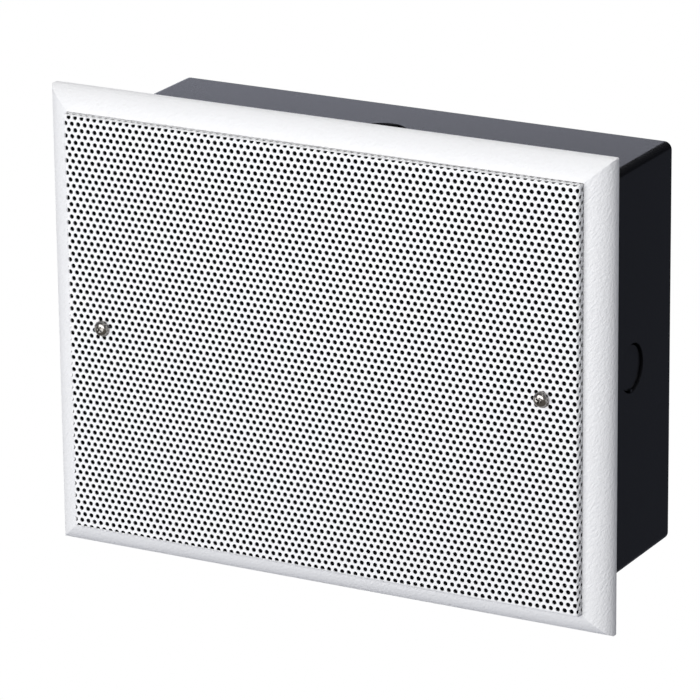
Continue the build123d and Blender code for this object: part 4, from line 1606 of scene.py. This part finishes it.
@dataclass
class Studio:
    """Camera, lamps, floor and surroundings."""

    azimuth: float = math.radians(28.60)
    elevation: float = math.radians(18.27)
    roll: float = math.radians(-0.62)
    distance: float = 2.001
    aim: tuple[float, float, float] = (0.00905, -0.001, 0.00344)
    focal_pixels: float = 5050.0
    image_pixels: float = 700.0
    sensor: float = 36.0
    clip_near: float = 0.05
    clip_far: float = 200.0
    floor_z: float = -0.6
    floor_size: float = 60.0
    floor_color: tuple[float, float, float] = (0.09, 0.105, 0.16)
    floor_gloss: float = 0.9
    ambient: tuple[float, float, float] = (0.95, 0.96, 1.0)
    ambient_strength: float = 0.28
    lamps: tuple[Softbox, ...] = (
        Softbox("key", (-0.14, -0.96, 0.15), 2.4, 2.4, 1.9, 59.5),
        Softbox("top", (0.1, 0.25, 0.96), 2.0, 1.4, 1.2, 7.0),
        Softbox("back", (0.05, 0.6, 0.8), 2.0, 1.4, 1.0, 10.0),
        Softbox("spark", (0.29, -0.51, 0.81), 2.0, 0.6, 0.5, 2.0),
        Softbox("right", (0.9, -0.35, 0.25), 2.2, 1.0, 1.4, 0.5),
        Softbox("glow", (-0.6, 0.793, 0.1045), 2.2, 2.3, 1.05, 5.3, (0.78, 0.81, 1.0)),
    )
    cards: tuple[Card, ...] = (
        Card("card_above", -8.0, 46.0, 1.2, 4.2, 1.07),
        Card("card_behind", 32.0, 12.0, 1.6, 2.3, 1.0),
        Card("card_below", 10.0, -20.0, 0.9, 2.2, 0.7, (0.068, 0.073, 0.092)),
        Card("card_before", 180.0, -52.0, 0.45, 1.6, 1.0, (0.24, 0.225, 0.2)),
        Card("card_white", 208.8, -18.1, 0.516, 0.38, 0.18, (2.6, 2.6, 2.6)),
    )

    def build(self) -> None:
        """Sets the whole studio."""
        aim = Vector(self.aim)
        self.camera(aim)
        self.floor()
        self.surroundings()
        for lamp in self.lamps:
            lamp.build(aim)
        for card in self.cards:
            card.build(aim)
        bpy.context.scene.view_settings.view_transform = "Standard"

    def camera(self, aim: Vector) -> None:
        """Sets the camera where the photograph was taken from.

        Args:
            aim: The point in the middle of the picture.
        """
        data = bpy.data.cameras.new("camera")
        data.sensor_width = self.sensor
        data.lens = self.focal_pixels * self.sensor / self.image_pixels
        data.clip_start, data.clip_end = self.clip_near, self.clip_far
        camera = bpy.data.objects.new("camera", data)
        turn = (
            Matrix.Rotation(self.azimuth, 4, "Z")
            @ Matrix.Rotation(math.pi / 2 - self.elevation, 4, "X")
            @ Matrix.Rotation(self.roll, 4, "Z")
        )
        back = turn.to_3x3() @ Vector((0.0, 0.0, 1.0))
        camera.matrix_world = Matrix.Translation(aim + back * self.distance) @ turn
        bpy.context.collection.objects.link(camera)
        bpy.context.scene.camera = camera

    def floor(self) -> None:
        """Lays the floor, white to the camera and in reflections, which throws little light back."""
        bench = Workbench.start("floor", bpy.ops.mesh.primitive_plane_add, size=self.floor_size)
        bench.place(Matrix.Translation((0.0, 0.0, self.floor_z)))
        desk = NodeDesk("pale floor")
        desk.shade(Base_Color=(*self.floor_color, 1.0), Roughness=self.floor_gloss)
        path = desk.add("ShaderNodeLightPath").outputs
        seen = path["Is Camera Ray"]
        for ray in ("Is Glossy Ray", "Is Transmission Ray"):
            seen = desk.combine(Blend.LARGER, seen, path[ray])
        white = desk.add("ShaderNodeEmission", {"Color": (1.0, 1.0, 1.0, 1.0), "Strength": 1.0})
        mix = desk.add("ShaderNodeMixShader", {"Fac": seen})
        desk.feed(mix.inputs[1], desk.shader.outputs["BSDF"])
        desk.feed(mix.inputs[2], white.outputs["Emission"])
        desk.feed(desk.tree.nodes["Material Output"].inputs["Surface"], mix.outputs["Shader"])
        bench.piece.data.materials.append(desk.material)

    def surroundings(self) -> None:
        """Sets the dim light from all round."""
        world = bpy.data.worlds.new("studio")
        world.use_nodes = True
        background = world.node_tree.nodes["Background"]
        background.inputs["Color"].default_value = (*self.ambient, 1.0)
        background.inputs["Strength"].default_value = self.ambient_strength
        bpy.context.scene.world = world


def main() -> None:
    """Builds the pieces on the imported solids, dresses the rest and sets the studio."""
    logging.basicConfig(level=logging.INFO, format="%(name)s: %(message)s")
    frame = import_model()
    pieces = [Bezel().build(), BackBox().build(), AcousticFleece().build(), DampingPad().build()]
    pieces += PerforatedGrille().build()
    pieces += GrilleFixing().build()
    for piece in pieces:
        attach(piece, Body.FIXED.value)
    ConeSuspension().build()
    for node, finish in CAD_FINISHES.items():
        solid = frame["nodes"][node]
        solid.data.materials.clear()
        solid.data.materials.append(finish.material())
        LOG.info("%s keeps its solid and gets %s", node, finish.name)
    Studio().build()


if __name__ == "__main__":
    main()
